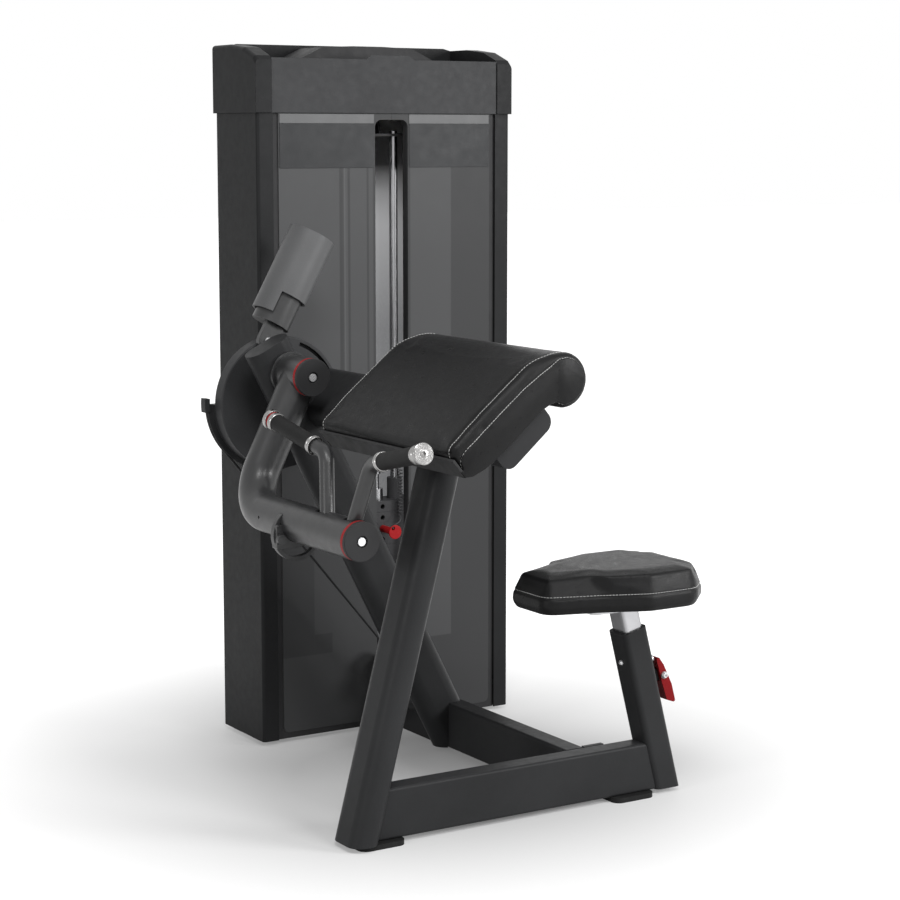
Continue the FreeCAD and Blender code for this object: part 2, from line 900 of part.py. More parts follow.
def pulley_brackets():
    rim = pulley_radius + pulley_rim
    base_top = foot_height + base_height
    inner = inner_pulley_centre()
    drop = inner.z - base_top
    plates = cheeks(inner, x_way, y_way, z_way,
                    [(-rim - pulley_axle, -drop), (-pulley_axle * 2, -drop), (pulley_axle * 2, -pulley_axle),
                     (pulley_axle * 2, pulley_axle * 2), (-pulley_axle * 2, pulley_axle * 2)])
    store("pulley_brackets", together(plates + [axle_pair(inner, x_way)]))
    top = top_pulley_centre()
    drop = top.z - bar_bottom - top_bar_wall
    plates = cheeks(top, x_way, y_way, z_way,
                    [(-rim, -drop), (rim, -drop), (pulley_axle * 2, pulley_axle * 2),
                     (-pulley_axle * 2, pulley_axle * 2)])
    store("pulley_brackets", together(plates + [axle_pair(top, x_way)]))
    outer = outer_pulley_centre()
    axis = outer_pulley_axis()
    tongue_top = foot_height + tongue_height
    front = outer.y - rim - wide_gap * 2
    stanchion = box(link_left, link_left + stanchion_width, front - stanchion_width, front, tongue_top,
                    outer.z + rim)
    pin = pulley_axle * 2
    back = front - stanchion_width - outer.y
    plates = cheeks(outer, axis, y_way, drive_way(),
                    [(pin, -pin), (pin, pin), (front - outer.y, rim * 2), (back, rim * 2), (back, -pin)])
    plates = [largest(p.cut(stanchion)) for p in plates]
    store("pulley_brackets", together(plates + [stanchion, axle_pair(outer, axis)]))


def fork():
    """Fork that joins the cable to the selector rod."""
    z = fork_z()
    body = rod(Vector(stack_x, stack_y, z), Vector(stack_x, stack_y, z + fork_height), fork_radius)
    gap = box(stack_x - fork_radius / 3, stack_x + fork_radius / 3, stack_y - fork_radius * 2,
              stack_y + fork_radius * 2,
              z + fork_height * 0.35, z + fork_height * 0.8)
    cross = rod(Vector(stack_x - fork_radius * 1.2, stack_y, z + fork_height * 0.6),
                Vector(stack_x + fork_radius * 1.2, stack_y, z + fork_height * 0.6), fork_radius * 0.3)
    store("selector_rod", body.cut(gap).fuse(cross).removeSplitter())


# Base frame and posts

def rect_beam(start, end, height):
    """Level tube with round long edges, its underside on the foot plane."""
    way = end.sub(start)
    across = z_way.cross(way).normalize()
    middle = Vector(0, 0, foot_height + height / 2)
    return hollow_bar(start + middle, end + middle, across, tube_short, height, tube_round, tube_wall)


def front_post_bar(width, height):
    low = post_point(front_post_foot_x, front_post_angle * -1, 0)
    high = post_point(front_post_foot_x, front_post_angle * -1, pad_low_z + pad_run)
    radius = min(width, height) / 2 * 0.999
    return bar(at_y(low, user_y), at_y(high, user_y), x_way_of(low, high), width, height, radius)


def x_way_of(low, high):
    """Level-most direction square to a leaning line, in the x and z plane."""
    way = high.sub(low).normalize()
    return Vector(way.z, 0, -way.x)


def main_post_bar(width, height):
    low = post_point(main_post_foot_x, main_post_angle, 0)
    high = post_top()
    return bar(at_y(low, main_post_y), at_y(high, main_post_y), x_way_of(low, high), width, height,
               min(width, height) / 2 * 0.999)


def post_top():
    return post_point(main_post_foot_x, main_post_angle, hub_z + main_post_above_hub)


def seat_tube_bar(size, radius):
    low = post_point(seat_tube_foot_x, seat_tube_angle, 0)
    high = post_point(seat_tube_foot_x, seat_tube_angle, seat_tube_top_z)
    return bar(at_y(low, user_y), at_y(high, user_y), x_way_of(low, high), size, size, radius)


def below_floor(level):
    """Large block under a level, for trimming."""
    size = 2 * (tower_width + tower_depth)
    return box(-size, size, -2 * size, size, -size, level)


def base_frame():
    beam_front = user_y - tube_short / 2
    beam_rear = user_y + tube_short / 2
    left = front_post_foot_x - oval_long
    right = seat_tube_foot_x + seat_tube_size
    front_beam = rect_beam(Vector(left, user_y, 0), Vector(right, user_y, 0), tube_long)
    front_beam = front_beam.cut(front_post_bar(oval_short, oval_long))
    front_beam = front_beam.cut(seat_tube_bar(seat_tube_size, seat_tube_round))
    front_beam = largest(front_beam)
    store("front_beam", front_beam)
    middle = link_left + tube_short / 2
    link = rect_beam(Vector(middle, beam_rear, 0), Vector(middle, link_rear_y, 0), tube_long)
    store("link_beam", link)
    plate_top = foot_height + tube_long
    joint = box(link_left + tube_short, link_left + 2 * tube_short, beam_rear,
                beam_rear + joint_plate_depth,
                foot_height, plate_top)
    store("link_beam", joint)
    post = front_post_bar(oval_short, oval_long).cut(front_post_bar(oval_short - 2 * tube_wall,
                                                                    oval_long - 2 * tube_wall))
    post = largest(post.cut(below_floor(foot_height)).cut(crossbar_solid(0)))
    store("front_post", post)
    post = main_post_bar(oval_long, oval_short).cut(main_post_bar(oval_long - 2 * tube_wall,
                                                                  oval_short - 2 * tube_wall))
    corner = box(link_left, link_left + 2 * oval_long, main_post_y - oval_long, main_post_y + oval_long,
                 -oval_long, foot_height + tube_long)
    post = post.cut(below_floor(foot_height)).cut(corner)
    post = largest(post.cut(hub_line(housing_front(), housing_rear(), housing_radius)))
    store("main_post", post)
    tube = seat_tube_bar(seat_tube_size, seat_tube_round)
    tube = tube.cut(seat_tube_bar(seat_tube_size - 2 * tube_wall, seat_tube_round - tube_wall))
    tube = tube.cut(below_floor(foot_height)).cut(lever_bores())
    store("seat_tube", largest(tube))
    feet()


def largest(shape):
    return max(shape.Solids, key=lambda solid: solid.Volume)


def feet():
    """Pads under the front beam, the main post and the tower."""
    pads = []
    for x0 in (front_foot_x, rear_foot_x):
        pad = box(x0, x0 + foot_long, user_y - foot_wide / 2, user_y + foot_wide / 2, 0, foot_height)
        pads.append(pad.makeFillet(foot_round, [e for e in pad.Edges if is_upright(e)]))
    inset = shell_wall + wide_gap + (base_tube - tower_foot) / 2
    front = stack_y - tower_foot / 2
    rear = tower_depth - inset - tower_foot
    for x0 in (inset, tower_width - inset - tower_foot):
        for y0 in (front, rear):
            pads.append(box(x0, x0 + tower_foot, y0, y0 + tower_foot, 0, foot_height))
    store("foot_pads", together(pads))


# Post top, crossbar and bearing

def tube_caps():
    top = at_y(post_top(), main_post_y)
    way = lean(main_post_angle)
    across = x_way_of(Vector(0, 0, 0), way)
    cap = bar(top, top + way * cap_wall, across, oval_long, oval_short, oval_short / 2 * 0.999)
    end = crossbar_end()
    frame_end = bar(end, end - y_way * cap_wall, pad_along_way(), crossbar_long, crossbar_short,
                    crossbar_round)
    store("main_post", cap)
    store("crossbar", frame_end)


def pad_along_way():
    return level_across(pad_angle)


def crossbar_end():
    return pad_point(crossbar_along, crossbar_off(), crossbar_front)


def crossbar_off():
    return -pad_thick - board_wall - plate_wall - crossbar_short / 2


def crossbar_start():
    return pad_point(crossbar_along, crossbar_off(), main_post_y + oval_short / 2)


def crossbar_solid(wall):
    return bar(crossbar_start(), crossbar_end(), pad_along_way(), crossbar_long - 2 * wall,
               crossbar_short - 2 * wall,
               crossbar_round - wall)


def crossbar():
    """Hollow bar from the main post to the front, under the pad."""
    solid = crossbar_solid(0).cut(crossbar_solid(tube_wall))
    store("crossbar", largest(solid.cut(main_post_bar(oval_long, oval_short))))


# Hub and swinging arm

def hub_line(y0, y1, radius):
    return rod(Vector(hub_x, y0, hub_z), Vector(hub_x, y1, hub_z), radius)


def housing_front():
    return main_post_y - oval_short / 2 - flange_width


def housing_rear():
    return main_post_y + oval_short / 2 + flange_width


def hub_front():
    return housing_front() - surface_gap - 2 * hub_radius


def arm_plane():
    return housing_front() - surface_gap - hub_radius


def bearing_housing():
    """Flanged tube through the main post that carries the arm's axle."""
    front = main_post_y - oval_short / 2
    rear = main_post_y + oval_short / 2
    solid = hub_line(housing_front(), front, flange_radius)
    solid = solid.fuse(hub_line(front, rear, housing_radius))
    solid = solid.fuse(hub_line(rear, housing_rear(), housing_radius * 1.4)).removeSplitter()
    bore = hub_line(housing_front() - flange_width, housing_rear() + flange_width,
                    axle_radius + running_fit)
    store("bearing_housing", solid.cut(bore))


def curl_arm():
    """Hub and bent tube, open at its end, with a slot for each handle rod."""
    y = arm_plane()
    reach = math.radians(arm_angle)
    corner = Vector(hub_x - arm_reach * math.sin(reach), y, hub_z - arm_reach * math.cos(reach))
    points = [Vector(hub_x, y, hub_z), corner, at_y(corner, arm_end_y)]
    outer = bent_rod(points, arm_bend, arm_radius)
    down = corner.sub(points[0]).normalize()
    inner_points = [points[0] + down * hub_radius, corner, at_y(corner, arm_end_y - arm_wall)]
    inner = bent_rod(inner_points, arm_bend, arm_radius - arm_wall)
    hub_solid = hub_line(hub_front(), housing_front() - surface_gap, hub_radius)
    solid = outer.fuse(hub_solid).cut(inner)
    solid = solid.cut(hub_line(hub_front() + hub_radius / 2, housing_front(), axle_radius))
    for side in (-1, 1):
        solid = solid.cut(handle_slot(side))
    plug = sight_hole()
    store("curl_arm", largest(solid.cut(plug)))
    store("arm_axle", hub_line(hub_front() + hub_radius / 2, weight_y + cam_width, axle_radius))


def sight_hole():
    """Small hole in the lower tube's front side, near the bend."""
    low = run_point(arm_plane() - arm_bend * 1.4)
    return rod(low, low - x_way * (2 * arm_radius), tube_wall)


def run_point(y):
    """Point on the axis of the arm's lower run."""
    reach = math.radians(arm_angle)
    return Vector(hub_x - arm_reach * math.sin(reach), y, hub_z - arm_reach * math.cos(reach))


def handle_slot(side):
    """Slot across the tube's top in which one handle rod swings."""
    middle_y = handle_y + side * (root_spread + (knee_spread - root_spread) * arm_radius / knee_height)
    half = rod_radius + wide_gap * 2
    rod_half = math.degrees(math.asin((rod_radius + 2 * surface_gap) / (arm_radius - arm_wall)))
    rest = math.degrees(math.atan2(knee_shift, knee_height))
    first = rest - rod_half
    last = rest + rod_half + handle_swing_angle
    centre = run_point(middle_y - half)
    points = [Vector(0, 0, 0)]
    steps = 6
    for step in range(steps + 1):
        angle = math.radians(first + (last - first) * step / steps)
        points.append(Vector(math.sin(angle), 0, math.cos(angle)) * (2 * arm_radius))
    return prism([centre + p for p in points], y_way * (2 * half))


def end_cap_parts(centre, radius):
    """Accent ring, cap and bolt on the front end of a hub or tube."""
    ring = rod(centre, centre - y_way * accent_width, radius)
    cap = rod(centre - y_way * accent_width, centre - y_way * (accent_width + cap_width), radius)
    face = centre - y_way * (accent_width + cap_width)
    flat = [e for e in cap.Edges if e.BoundBox.YLength < radius / 1000]
    front_edge = [e for e in flat if abs(e.BoundBox.YMin - face.y) < radius / 1000]
    cap = cap.makeFillet(cap_width / 5, front_edge)
    recess = rod(face, face + y_way * (cap_width / 2), 1.45 * cap_bolt_radius)
    bolt = rod(face + y_way * (cap_width / 2), face + y_way * (cap_width / 8), cap_bolt_radius)
    return ring, cap.cut(recess), bolt


def arm_caps():
    hub_parts = end_cap_parts(Vector(hub_x, hub_front(), hub_z), hub_radius)
    end_parts = end_cap_parts(run_point(arm_end_y), arm_radius)
    store("accent_rings", together([hub_parts[0], end_parts[0]]))
    store("end_caps", together([hub_parts[1], end_parts[1]]))
    store("arm_axle", together([hub_parts[2], end_parts[2]]))


def rest_hoop():
    """Ring and lug under the lower tube."""
    centre = run_point(hoop_y) - z_way * hoop_drop
    half = y_way * (hoop_width / 2)
    ring = rod(centre - half, centre + half, hoop_radius).cut(
        rod(centre - half * 2, centre + half * 2, hoop_radius - hoop_wall))
    front = hoop_y - hoop_width / 2 - lug_front
    lug = box(centre.x - lug_left, centre.x + lug_right, front, hoop_y + hoop_width / 2,
              centre.z - lug_low, centre.z + lug_high)
    lug = lug.makeFillet(lug_front / 2, [e for e in lug.Edges if e.BoundBox.YLength > lug_front])
    near = run_point(hoop_y - 3 * hoop_width)
    far = run_point(hoop_y + 3 * hoop_width)
    ring = ring.fuse(lug).removeSplitter().cut(rod(near, far, arm_radius))
    boss_seat = Vector(centre.x - boss_left, front, centre.z - boss_low)
    boss = rod(boss_seat, boss_seat - y_way * hoop_wall, boss_radius)
    store("rest_hoop", largest(ring.fuse(boss).removeSplitter()))


# Cam and counterweight

def cam_line(y0, y1, radius):
    centre = track_centre()
    return rod(Vector(centre.x, y0, centre.z), Vector(centre.x, y1, centre.z), radius)


def arc_band(first, last, inner, outer, y0, y1):
    """Part of a ring round the cam's centre."""
    profile = [Vector(inner, y0, 0), Vector(outer, y0, 0), Vector(outer, y1, 0), Vector(inner, y1, 0)]
    return swept_band(profile, first, last)


def swept_band(profile, first, last):
    face = Part.Face(Part.makePolygon(profile + [profile[0]]))
    centre = track_centre()
    solid = face.revolve(Vector(0, 0, 0), y_way * -1, last - first)
    solid.rotate(Vector(0, 0, 0), y_way * -1, first)
    solid.translate(Vector(centre.x, 0, centre.z))
    return solid


def cam():
    rear = cam_front_y + cam_width
    solid = cam_line(cam_front_y, rear, cam_radius)
    solid = solid.makeFillet(cam_width / 12,
                             [e for e in solid.Edges if e.BoundBox.YLength < cam_width / 100])
    groove = arc_band(groove_start_angle, groove_end_angle, cam_radius * 0.89, cam_radius * 0.945,
                      cam_front_y - cam_width,
                      cam_front_y + cam_width / 3)
    boss = hub_line(housing_rear() + surface_gap, cam_front_y, housing_radius * 1.25)
    bore = hub_line(housing_rear(), rear + cam_width, axle_radius)
    store("cam_disc", solid.cut(groove).fuse(boss).removeSplitter().cut(bore))
    half = track_width / 2
    rim = track_radius + cable_radius * 0.4
    floor = track_radius - cable_radius - surface_gap
    inner = track_radius - track_width * 1.6
    y = drive_y
    profile = [(inner, y - half), (rim, y - half), (rim, y - half * 0.6), (floor, y - half * 0.4),
               (floor, y + half * 0.4), (rim, y + half * 0.6), (rim, y + half), (inner, y + half)]
    band = swept_band([Vector(r, at, 0) for r, at in profile], track_start_angle, track_end_angle)
    spacer = arc_band(track_start_angle, track_end_angle, inner - track_width, cam_radius - surface_gap,
                      rear, drive_y - half)
    first = math.degrees(anchor_length / track_radius)
    anchor = arc_band(anchor_angle - first, anchor_angle, floor, rim + cable_radius * 3,
                      drive_y - half * 1.4,
                      drive_y + half * 1.4)
    store("cable_track", band.fuse(spacer).removeSplitter())
    store("cable_track", anchor.cut(band))


def weight_point(along):
    angle = math.radians(weight_angle)
    return Vector(weight_foot_x + along * math.sin(angle), weight_y,
                  weight_foot_z + along * math.cos(angle))


def counterweight():
    up = lean(-weight_angle)
    across = x_way_of(Vector(0, 0, 0), up)
    top = sleeve_start + sleeve_length
    core = rod(weight_point(0), weight_point(top - sleeve_wall), weight_radius)
    store("weight_core", core)
    shell = rod(weight_point(sleeve_start - sleeve_tongue), weight_point(top), sleeve_radius)
    shell = shell.cut(rod(weight_point(0), weight_point(top - sleeve_wall), sleeve_radius - sleeve_wall))
    side = across * (2 * sleeve_radius)
    near = weight_point(0) - y_way * (2 * sleeve_radius) - across * (sleeve_radius * 0.55)
    notch = prism([near, near + across * (4 * sleeve_radius),
                   near + across * (4 * sleeve_radius) + up * sleeve_start,
                   near + up * sleeve_start], y_way * (2 * sleeve_radius))
    behind = weight_point(0) + across * (sleeve_radius * 0.2)
    rear_notch = prism([behind, behind + side, behind + side + up * sleeve_start,
                        behind + up * sleeve_start],
                       y_way * (2 * sleeve_radius))
    store("weight_sleeve", largest(shell.cut(notch).cut(rear_notch)))
    front = cam_front_y - bar_wall
    low = at_y(weight_point(-bar_reach), front)
    high = at_y(weight_point(0), front)
    half = across * (bar_width / 2)
    plate_solid = prism([low - half, low + half, high + half, high - half], y_way * bar_wall)
    plate_solid = plate_solid.fuse(rod(low, low + y_way * bar_wall, bar_width / 2)).removeSplitter()
    store("weight_bar", plate_solid)
    store("arm_axle", button_bolt(low, y_way * -1, cap_bolt_radius))


# Handles

def handle_axis():
    return run_point(handle_y)


def handle_at(side, shift, height, spread):
    base = handle_axis()
    return Vector(base.x + shift, base.y + side * spread, base.z + height)


def grip_way(side):
    knee = handle_at(side, knee_shift, knee_height, knee_spread)
    end = handle_at(side, end_shift, end_height, end_spread)
    return end.sub(knee).normalize()


def handles():
    """Two bent rods on one shaft inside the lower tube, with their grips, collars and knobs."""
    base = handle_axis()
    half = root_spread + rod_radius
    frame = rod(base - y_way * half, base + y_way * half, shaft_radius)
    grips = []
    collars = []
    knobs = []
    for side in (-1, 1):
        root = handle_at(side, 0, 0, root_spread)
        knee = handle_at(side, knee_shift, knee_height, knee_spread)
        end = handle_at(side, end_shift, end_height, end_spread)
        way = grip_way(side)
        knob_start = end - way * knob_width
        frame = frame.fuse(bent_rod([root, knee, knob_start], handle_bend, rod_radius))
        grip_end = knob_start - way * collar_width
        grip_start = grip_end - way * grip_length
        for start in (grip_start - way * collar_width, grip_end):
            collars.append(collar(start, way))
        grips.append(sleeve(grip_start, grip_end, grip_radius, rod_radius))
        knobs.append(knob(knob_start, way))
    store("handle_frame", frame.removeSplitter())
    store("grips", together(grips))
    store("grip_collars", together(collars))
    store("grip_collars", together(knobs))
    middle = y_way * bush_long
    store("shaft_bush", sleeve(base - middle, base + middle, arm_radius - arm_wall,
                               shaft_radius + running_fit))


def collar(start, way):
    return spun([(rod_radius, 0), (collar_radius * 0.94, 0), (collar_radius, collar_width * 0.2),
                 (collar_radius, collar_width * 0.8), (collar_radius * 0.94, collar_width),
                 (rod_radius, collar_width)],
                start, way)


def knob(start, way):
    return spun([(0, 0), (knob_radius * 0.86, 0), (knob_radius * 0.86, knob_width * 0.25),
                 (knob_radius, knob_width * 0.3), (knob_radius, knob_width * 0.85),
                 (knob_radius * 0.9, knob_width), (0, knob_width)], start, way)


# Arm pad

def pad_arc(centre_s, centre_t, radius, first, last):
    """Arc in the pad's side outline, as an edge."""
    points = []
    for share in (0, 0.5, 1):
        angle = math.radians(first + (last - first) * share)
        points.append(pad_point(centre_s + radius * math.cos(angle), centre_t + radius * math.sin(angle),
                                user_y - pad_width / 2))
    return Part.Arc(points[0], points[1], points[2]).toShape(), points[0], points[2]


def pad_corner(along, off):
    return pad_point(along, off, user_y - pad_width / 2)


def roll_shoulder():
    """Place along the pad and radius of the wide curve that leads from its flat top into the roll."""
    start = math.radians(roll_start_angle)
    radius = pad_roll + roll_drop / (1 - math.sin(start))
    return pad_run - (radius - pad_roll) * math.cos(start), radius


def arm_pad():
    """Padded slab with a roll over its upper end."""
    low_arc, low_first, low_last = pad_arc(pad_edge, -pad_edge, pad_edge, left_angle, up_angle)
    shoulder, shoulder_radius = roll_shoulder()
    top_arc, top_first, top_last = pad_arc(shoulder, -shoulder_radius, shoulder_radius, up_angle,
                                           roll_start_angle)
    roll_t = -pad_roll - roll_drop
    roll_arc, roll_first, roll_last = pad_arc(pad_run, roll_t, pad_roll, roll_start_angle, roll_side_angle)
    under_arc, under_first, under_last = pad_arc(pad_run, roll_t, pad_roll, roll_side_angle, roll_end_angle)
    crest = pad_corner((pad_edge + shoulder) / 2, pad_crown)
    neck = pad_corner(pad_run - pad_roll * 0.8, -pad_thick)
    low = pad_corner(0, -pad_thick)
    edges = [low_arc, Part.Arc(low_last, crest, top_first).toShape(), top_arc, roll_arc, under_arc,
             Part.makeLine(under_last, neck), Part.makeLine(neck, low), Part.makeLine(low, low_first)]
    solid = Part.Face(Part.Wire(edges)).extrude(y_way * pad_width)
    rounded = [e for e in solid.Edges if is_round_end_edge(e)]
    store("arm_pad", solid.makeFillet(pad_edge * 0.75, rounded))


def is_round_end_edge(edge):
    """True for the curved edges round the pad's two ends."""
    return edge.Curve.TypeId != "Part::GeomLine" and edge.BoundBox.YLength < pad_edge / 100


def pad_shell():
    """Sheet pan under the pad with side skirts and a lower end panel, and the plate on the crossbar."""
    y0 = user_y - pad_width / 2
    y1 = user_y + pad_width / 2
    neck = pad_run - pad_roll * 1.15
    board = pad_slab([(-panel_thick, -pad_thick - board_wall), (-panel_thick, -pad_thick), (neck, -pad_thick),
                      (neck, -pad_thick - board_wall)], y0, y1)
    low_end = pad_slab([(-panel_thick, -pad_thick), (-panel_thick, -pad_edge), (0, -pad_edge),
                        (0, -pad_thick)], y0, y1)
    drop = skirt_depth
    outline = [(-panel_thick, -pad_thick), (panel_thick * 2, -pad_thick * 1.2),
               (panel_thick * 8, -drop * 0.95),
               (panel_thick * 18, -drop), (neck, -drop), (neck, -pad_thick)]
    body = board.fuse(low_end)
    clear = bar(crossbar_start(), crossbar_end() - y_way * tube_long, pad_along_way(),
                crossbar_long + 2 * surface_gap, crossbar_short + 2 * surface_gap, crossbar_round)
    far = pad_slab(outline, y1 - board_wall * 2, y1)
    near = pad_slab(outline, y0, y0 + board_wall * 2)
    body = body.fuse([near, far]).removeSplitter().cut(clear)
    body = largest(body)
    store("pad_shell", body)
    half = crossbar_long / 2 - crossbar_round
    mount = pad_slab([(crossbar_along - half, -pad_thick - board_wall - plate_wall),
                      (crossbar_along - half, -pad_thick - board_wall), (crossbar_along + half,
                                                                         -pad_thick - board_wall),
                      (crossbar_along + half, -pad_thick - board_wall - plate_wall)],
                     y0 + pad_width / 6, y1 - pad_width / 6)
    store("crossbar", mount)


# Seat

def seat_axis(z):
    point = post_point(seat_tube_foot_x, seat_tube_angle, z)
    return at_y(point, user_y)


def round_outline(corners, radii, z):
    """Closed wire through corners, each rounded by its radius."""
    edges = []
    count = len(corners)
    ends = []
    for i in range(count):
        before = Vector(corners[i - 1][0], corners[i - 1][1], z)
        here = Vector(corners[i][0], corners[i][1], z)
        after = Vector(corners[(i + 1) % count][0], corners[(i + 1) % count][1], z)
        back = before.sub(here).normalize()
        ahead = after.sub(here).normalize()
        half = back.getAngle(ahead) / 2
        reach = radii[i] / math.tan(half)
        enter = here + back * reach
        leave = here + ahead * reach
        middle = here + (back + ahead).normalize() * (radii[i] / math.sin(half) - radii[i])
        ends.append((enter, middle, leave))
    for i in range(count):
        enter, middle, leave = ends[i]
        following = ends[(i + 1) % count][0]
        edges.append(Part.Arc(enter, middle, leave).toShape())
        edges.append(Part.makeLine(leave, following))
    return Part.Wire(edges)


def seat_corners(inset):
    """Outline of the seat cushion in plan, drawn in by an inset."""
    nose = seat_nose_x + inset
    rear = seat_rear_x - inset
    half = [seat_nose_half - inset * 0.7, seat_waist_half - inset, seat_wide_half - inset,
            seat_wide_half - inset,
            seat_rear_half - inset * 0.7]
    front = seat_wide_x + inset * 0.3
    back = seat_corner_x - inset * 0.3
    near = [(nose, -half[0]), (seat_waist_x, -half[1]), (front, -half[2]), (back, -half[3]), (rear, -half[4])]
    far = [(x, -y) for x, y in reversed(near)]
    return [(x, user_y + y) for x, y in near + far]


def seat_wire(inset, z):
    radii = [seat_round_small, seat_round_large, seat_round_large, seat_round_large * 0.7, seat_round_small]
    radii = [r - inset * 0.3 for r in radii + radii[::-1]]
    return round_outline(seat_corners(inset), radii, z)


def seat_pad():
    """Cushion with drawn-in sides and a raised, crowned middle."""
    seam = seat_bottom_z + seat_skirt
    lower = Part.makeLoft([seat_wire(seat_draw, seat_bottom_z), seat_wire(seat_draw * 0.25,
                                                                          seat_bottom_z + seat_skirt * 0.4),
                           seat_wire(seat_draw * 0.5, seam)], True, False)
    upper = Part.makeLoft([seat_wire(seat_draw * 0.5, seam), seat_wire(seat_draw * 0.8,
                                                                       seam + seat_rise * 0.35),
                           seat_wire(seat_inset * 0.5, seam + seat_rise * 0.75),
                           seat_wire(seat_inset, seam + seat_rise)],
                          True, False)
    top = Part.makeLoft([seat_wire(seat_inset, seam + seat_rise),
                         seat_wire(seat_inset * 2, seam + seat_rise + seat_crown)], True, False)
    store("seat_pad", lower.fuse([upper, top]).removeSplitter())


def seat_column():
    """Seat tube's bush, the sliding post and the plate under the cushion."""
    way = lean(seat_tube_angle)
    across = x_way_of(Vector(0, 0, 0), way)
    top = seat_axis(seat_tube_top_z)
    outer = seat_tube_size - 2 * tube_wall
    inner_x = seat_post_depth
    inner_y = seat_post_width
    low = top - way * bush_depth
    plug = bar(low, top, across, outer, outer, seat_tube_round - tube_wall)
    lip = bar(top, top + way * tube_wall, across, seat_tube_size, seat_tube_size, seat_tube_round)
    gap = surface_gap * 2
    hole = bar(low - way * tube_wall, top + way * (2 * tube_wall), across, inner_x + gap, inner_y + gap,
               seat_post_round)
    store("seat_bush", plug.fuse(lip).removeSplitter().cut(hole).cut(lever_bores()))
    upper = seat_axis(seat_bottom_z)
    post = bar(top - way * seat_post_hidden, upper + way * seat_tube_size, across, inner_x, inner_y,
               seat_post_round)
    level = seat_bottom_z - seat_plate_wall
    cutter = box(upper.x - seat_tube_size * 3, upper.x + seat_tube_size * 3, user_y - seat_tube_size * 2,
                 user_y + seat_tube_size * 2, level, seat_bottom_z + seat_tube_size * 4)
    post = post.cut(cutter)
    groove_width = 2 * lock_radius + wide_gap
    face = across * (inner_x / 2)
    first = top - way * (pin_below - seat_drop - groove_width)
    groove = bar(first + face, top - way * (seat_post_hidden + groove_width) + face, y_way, groove_width,
                 2 * groove_depth, lock_radius / 5)
    post = post.cut(groove)
    for step in range(seat_holes):
        middle = top - way * (pin_below - seat_drop + seat_hole_pitch * step)
        post = post.cut(rod(middle, middle + face, lock_radius + surface_gap))
    store("seat_post", post)
    centre = upper.x - seat_plate_half / 3
    plate_solid = box(centre - seat_plate_half, centre + seat_plate_half, user_y - seat_plate_half * 0.8,
                      user_y + seat_plate_half * 0.8, level, seat_bottom_z)
    upright_edges = [e for e in plate_solid.Edges if is_upright(e)]
    store("seat_post", plate_solid.makeFillet(seat_plate_half / 5, upright_edges))


def lock_line():
    """Start point and direction of the lock pin, square to the seat tube."""
    way = lean(seat_tube_angle)
    across = x_way_of(Vector(0, 0, 0), way)
    return seat_axis(seat_tube_top_z) - way * pin_below, across


def lever_bores():
    start, across = lock_line()
    return rod(start, start + across * (seat_tube_size * 1.5), lock_radius + running_fit * 2)


# Seat lever

def seat_lever():
    half = lever_width / 2
    points = [(lever_pivot_x + x, lever_pivot_z + z) for x, z in lever_outline()]
    solid = slab(points, user_y - half, user_y + half)
    long_edges = [e for e in solid.Edges if e.BoundBox.YLength > lever_width * 0.9]
    solid = solid.makeFillet(lever_round, long_edges)
    bore = rod(pivot_at(user_y - lever_width), pivot_at(user_y + lever_width),
               lever_pin_radius + running_fit)
    slot = ear_plate(bracket_wall + wide_gap, wide_gap, ear_half / 2)
    store("seat_lever", solid.cut(bore).cut(slot))
    reach = half + surface_gap
    pin = rod(pivot_at(user_y - reach), pivot_at(user_y + reach), lever_pin_radius)
    ear = ear_plate(bracket_wall, 0, 0).cut(seat_tube_bar(seat_tube_size, seat_tube_round)).cut(pin)
    store("seat_tube", largest(ear))
    head = button_bolt(pivot_at(user_y - reach), y_way * -1, lever_pin_radius * 1.5)
    nut = button_bolt(pivot_at(user_y + reach), y_way, lever_pin_radius * 1.5)
    way = lean(seat_tube_angle)
    across = x_way_of(Vector(0, 0, 0), way)
    seat_side = seat_axis(tube_bolt_z) - across * (seat_tube_size / 2)
    side_bolt = button_bolt(seat_side, across * -1, small_bolt_radius)
    store("frame_bolts", pin.fuse([head, nut]).removeSplitter())
    store("frame_bolts", side_bolt)
    start, across = lock_line()
    tip = start + across * (seat_post_depth / 2 - groove_depth + surface_gap)
    face = start + across * (seat_tube_size / 2)
    tail = face + across * lock_reach
    shank = rod(tip, tail, lock_radius)
    head = rod(face + across * (lock_reach * 0.4), tail, lock_radius * 1.6)
    store("lock_pin", shank.fuse(head).removeSplitter())


def ear_plate(width, around, above):
    """Plate from the seat tube to the lever's pivot, or with margins the room that it needs in the lever."""
    y0 = user_y - width / 2
    y1 = user_y + width / 2
    end = lever_pin_radius * 2 + around
    left = lever_pivot_x - ear_reach
    outline = [(left, lever_pivot_z + ear_half + above), (lever_pivot_x, lever_pivot_z + end),
               (lever_pivot_x, lever_pivot_z - end), (left, lever_pivot_z - ear_half - above)]
    return slab(outline, y0, y1).fuse(rod(pivot_at(y0), pivot_at(y1), end)).removeSplitter()


def pivot_at(y):
    return Vector(lever_pivot_x, y, lever_pivot_z)


def lever_outline():
    """Side outline of the lever, from its pivot."""
    return [(-lever_top * 0.45, lever_top), (0, lever_top * 0.4), (lever_drop * 0.34, -lever_drop * 0.34),
            (lever_drop * 0.52, -lever_drop), (lever_drop * 0.15, -lever_drop * 0.87),
            (-lever_drop * 0.08, -lever_drop * 0.2)]


# Lanyard of the selector pin

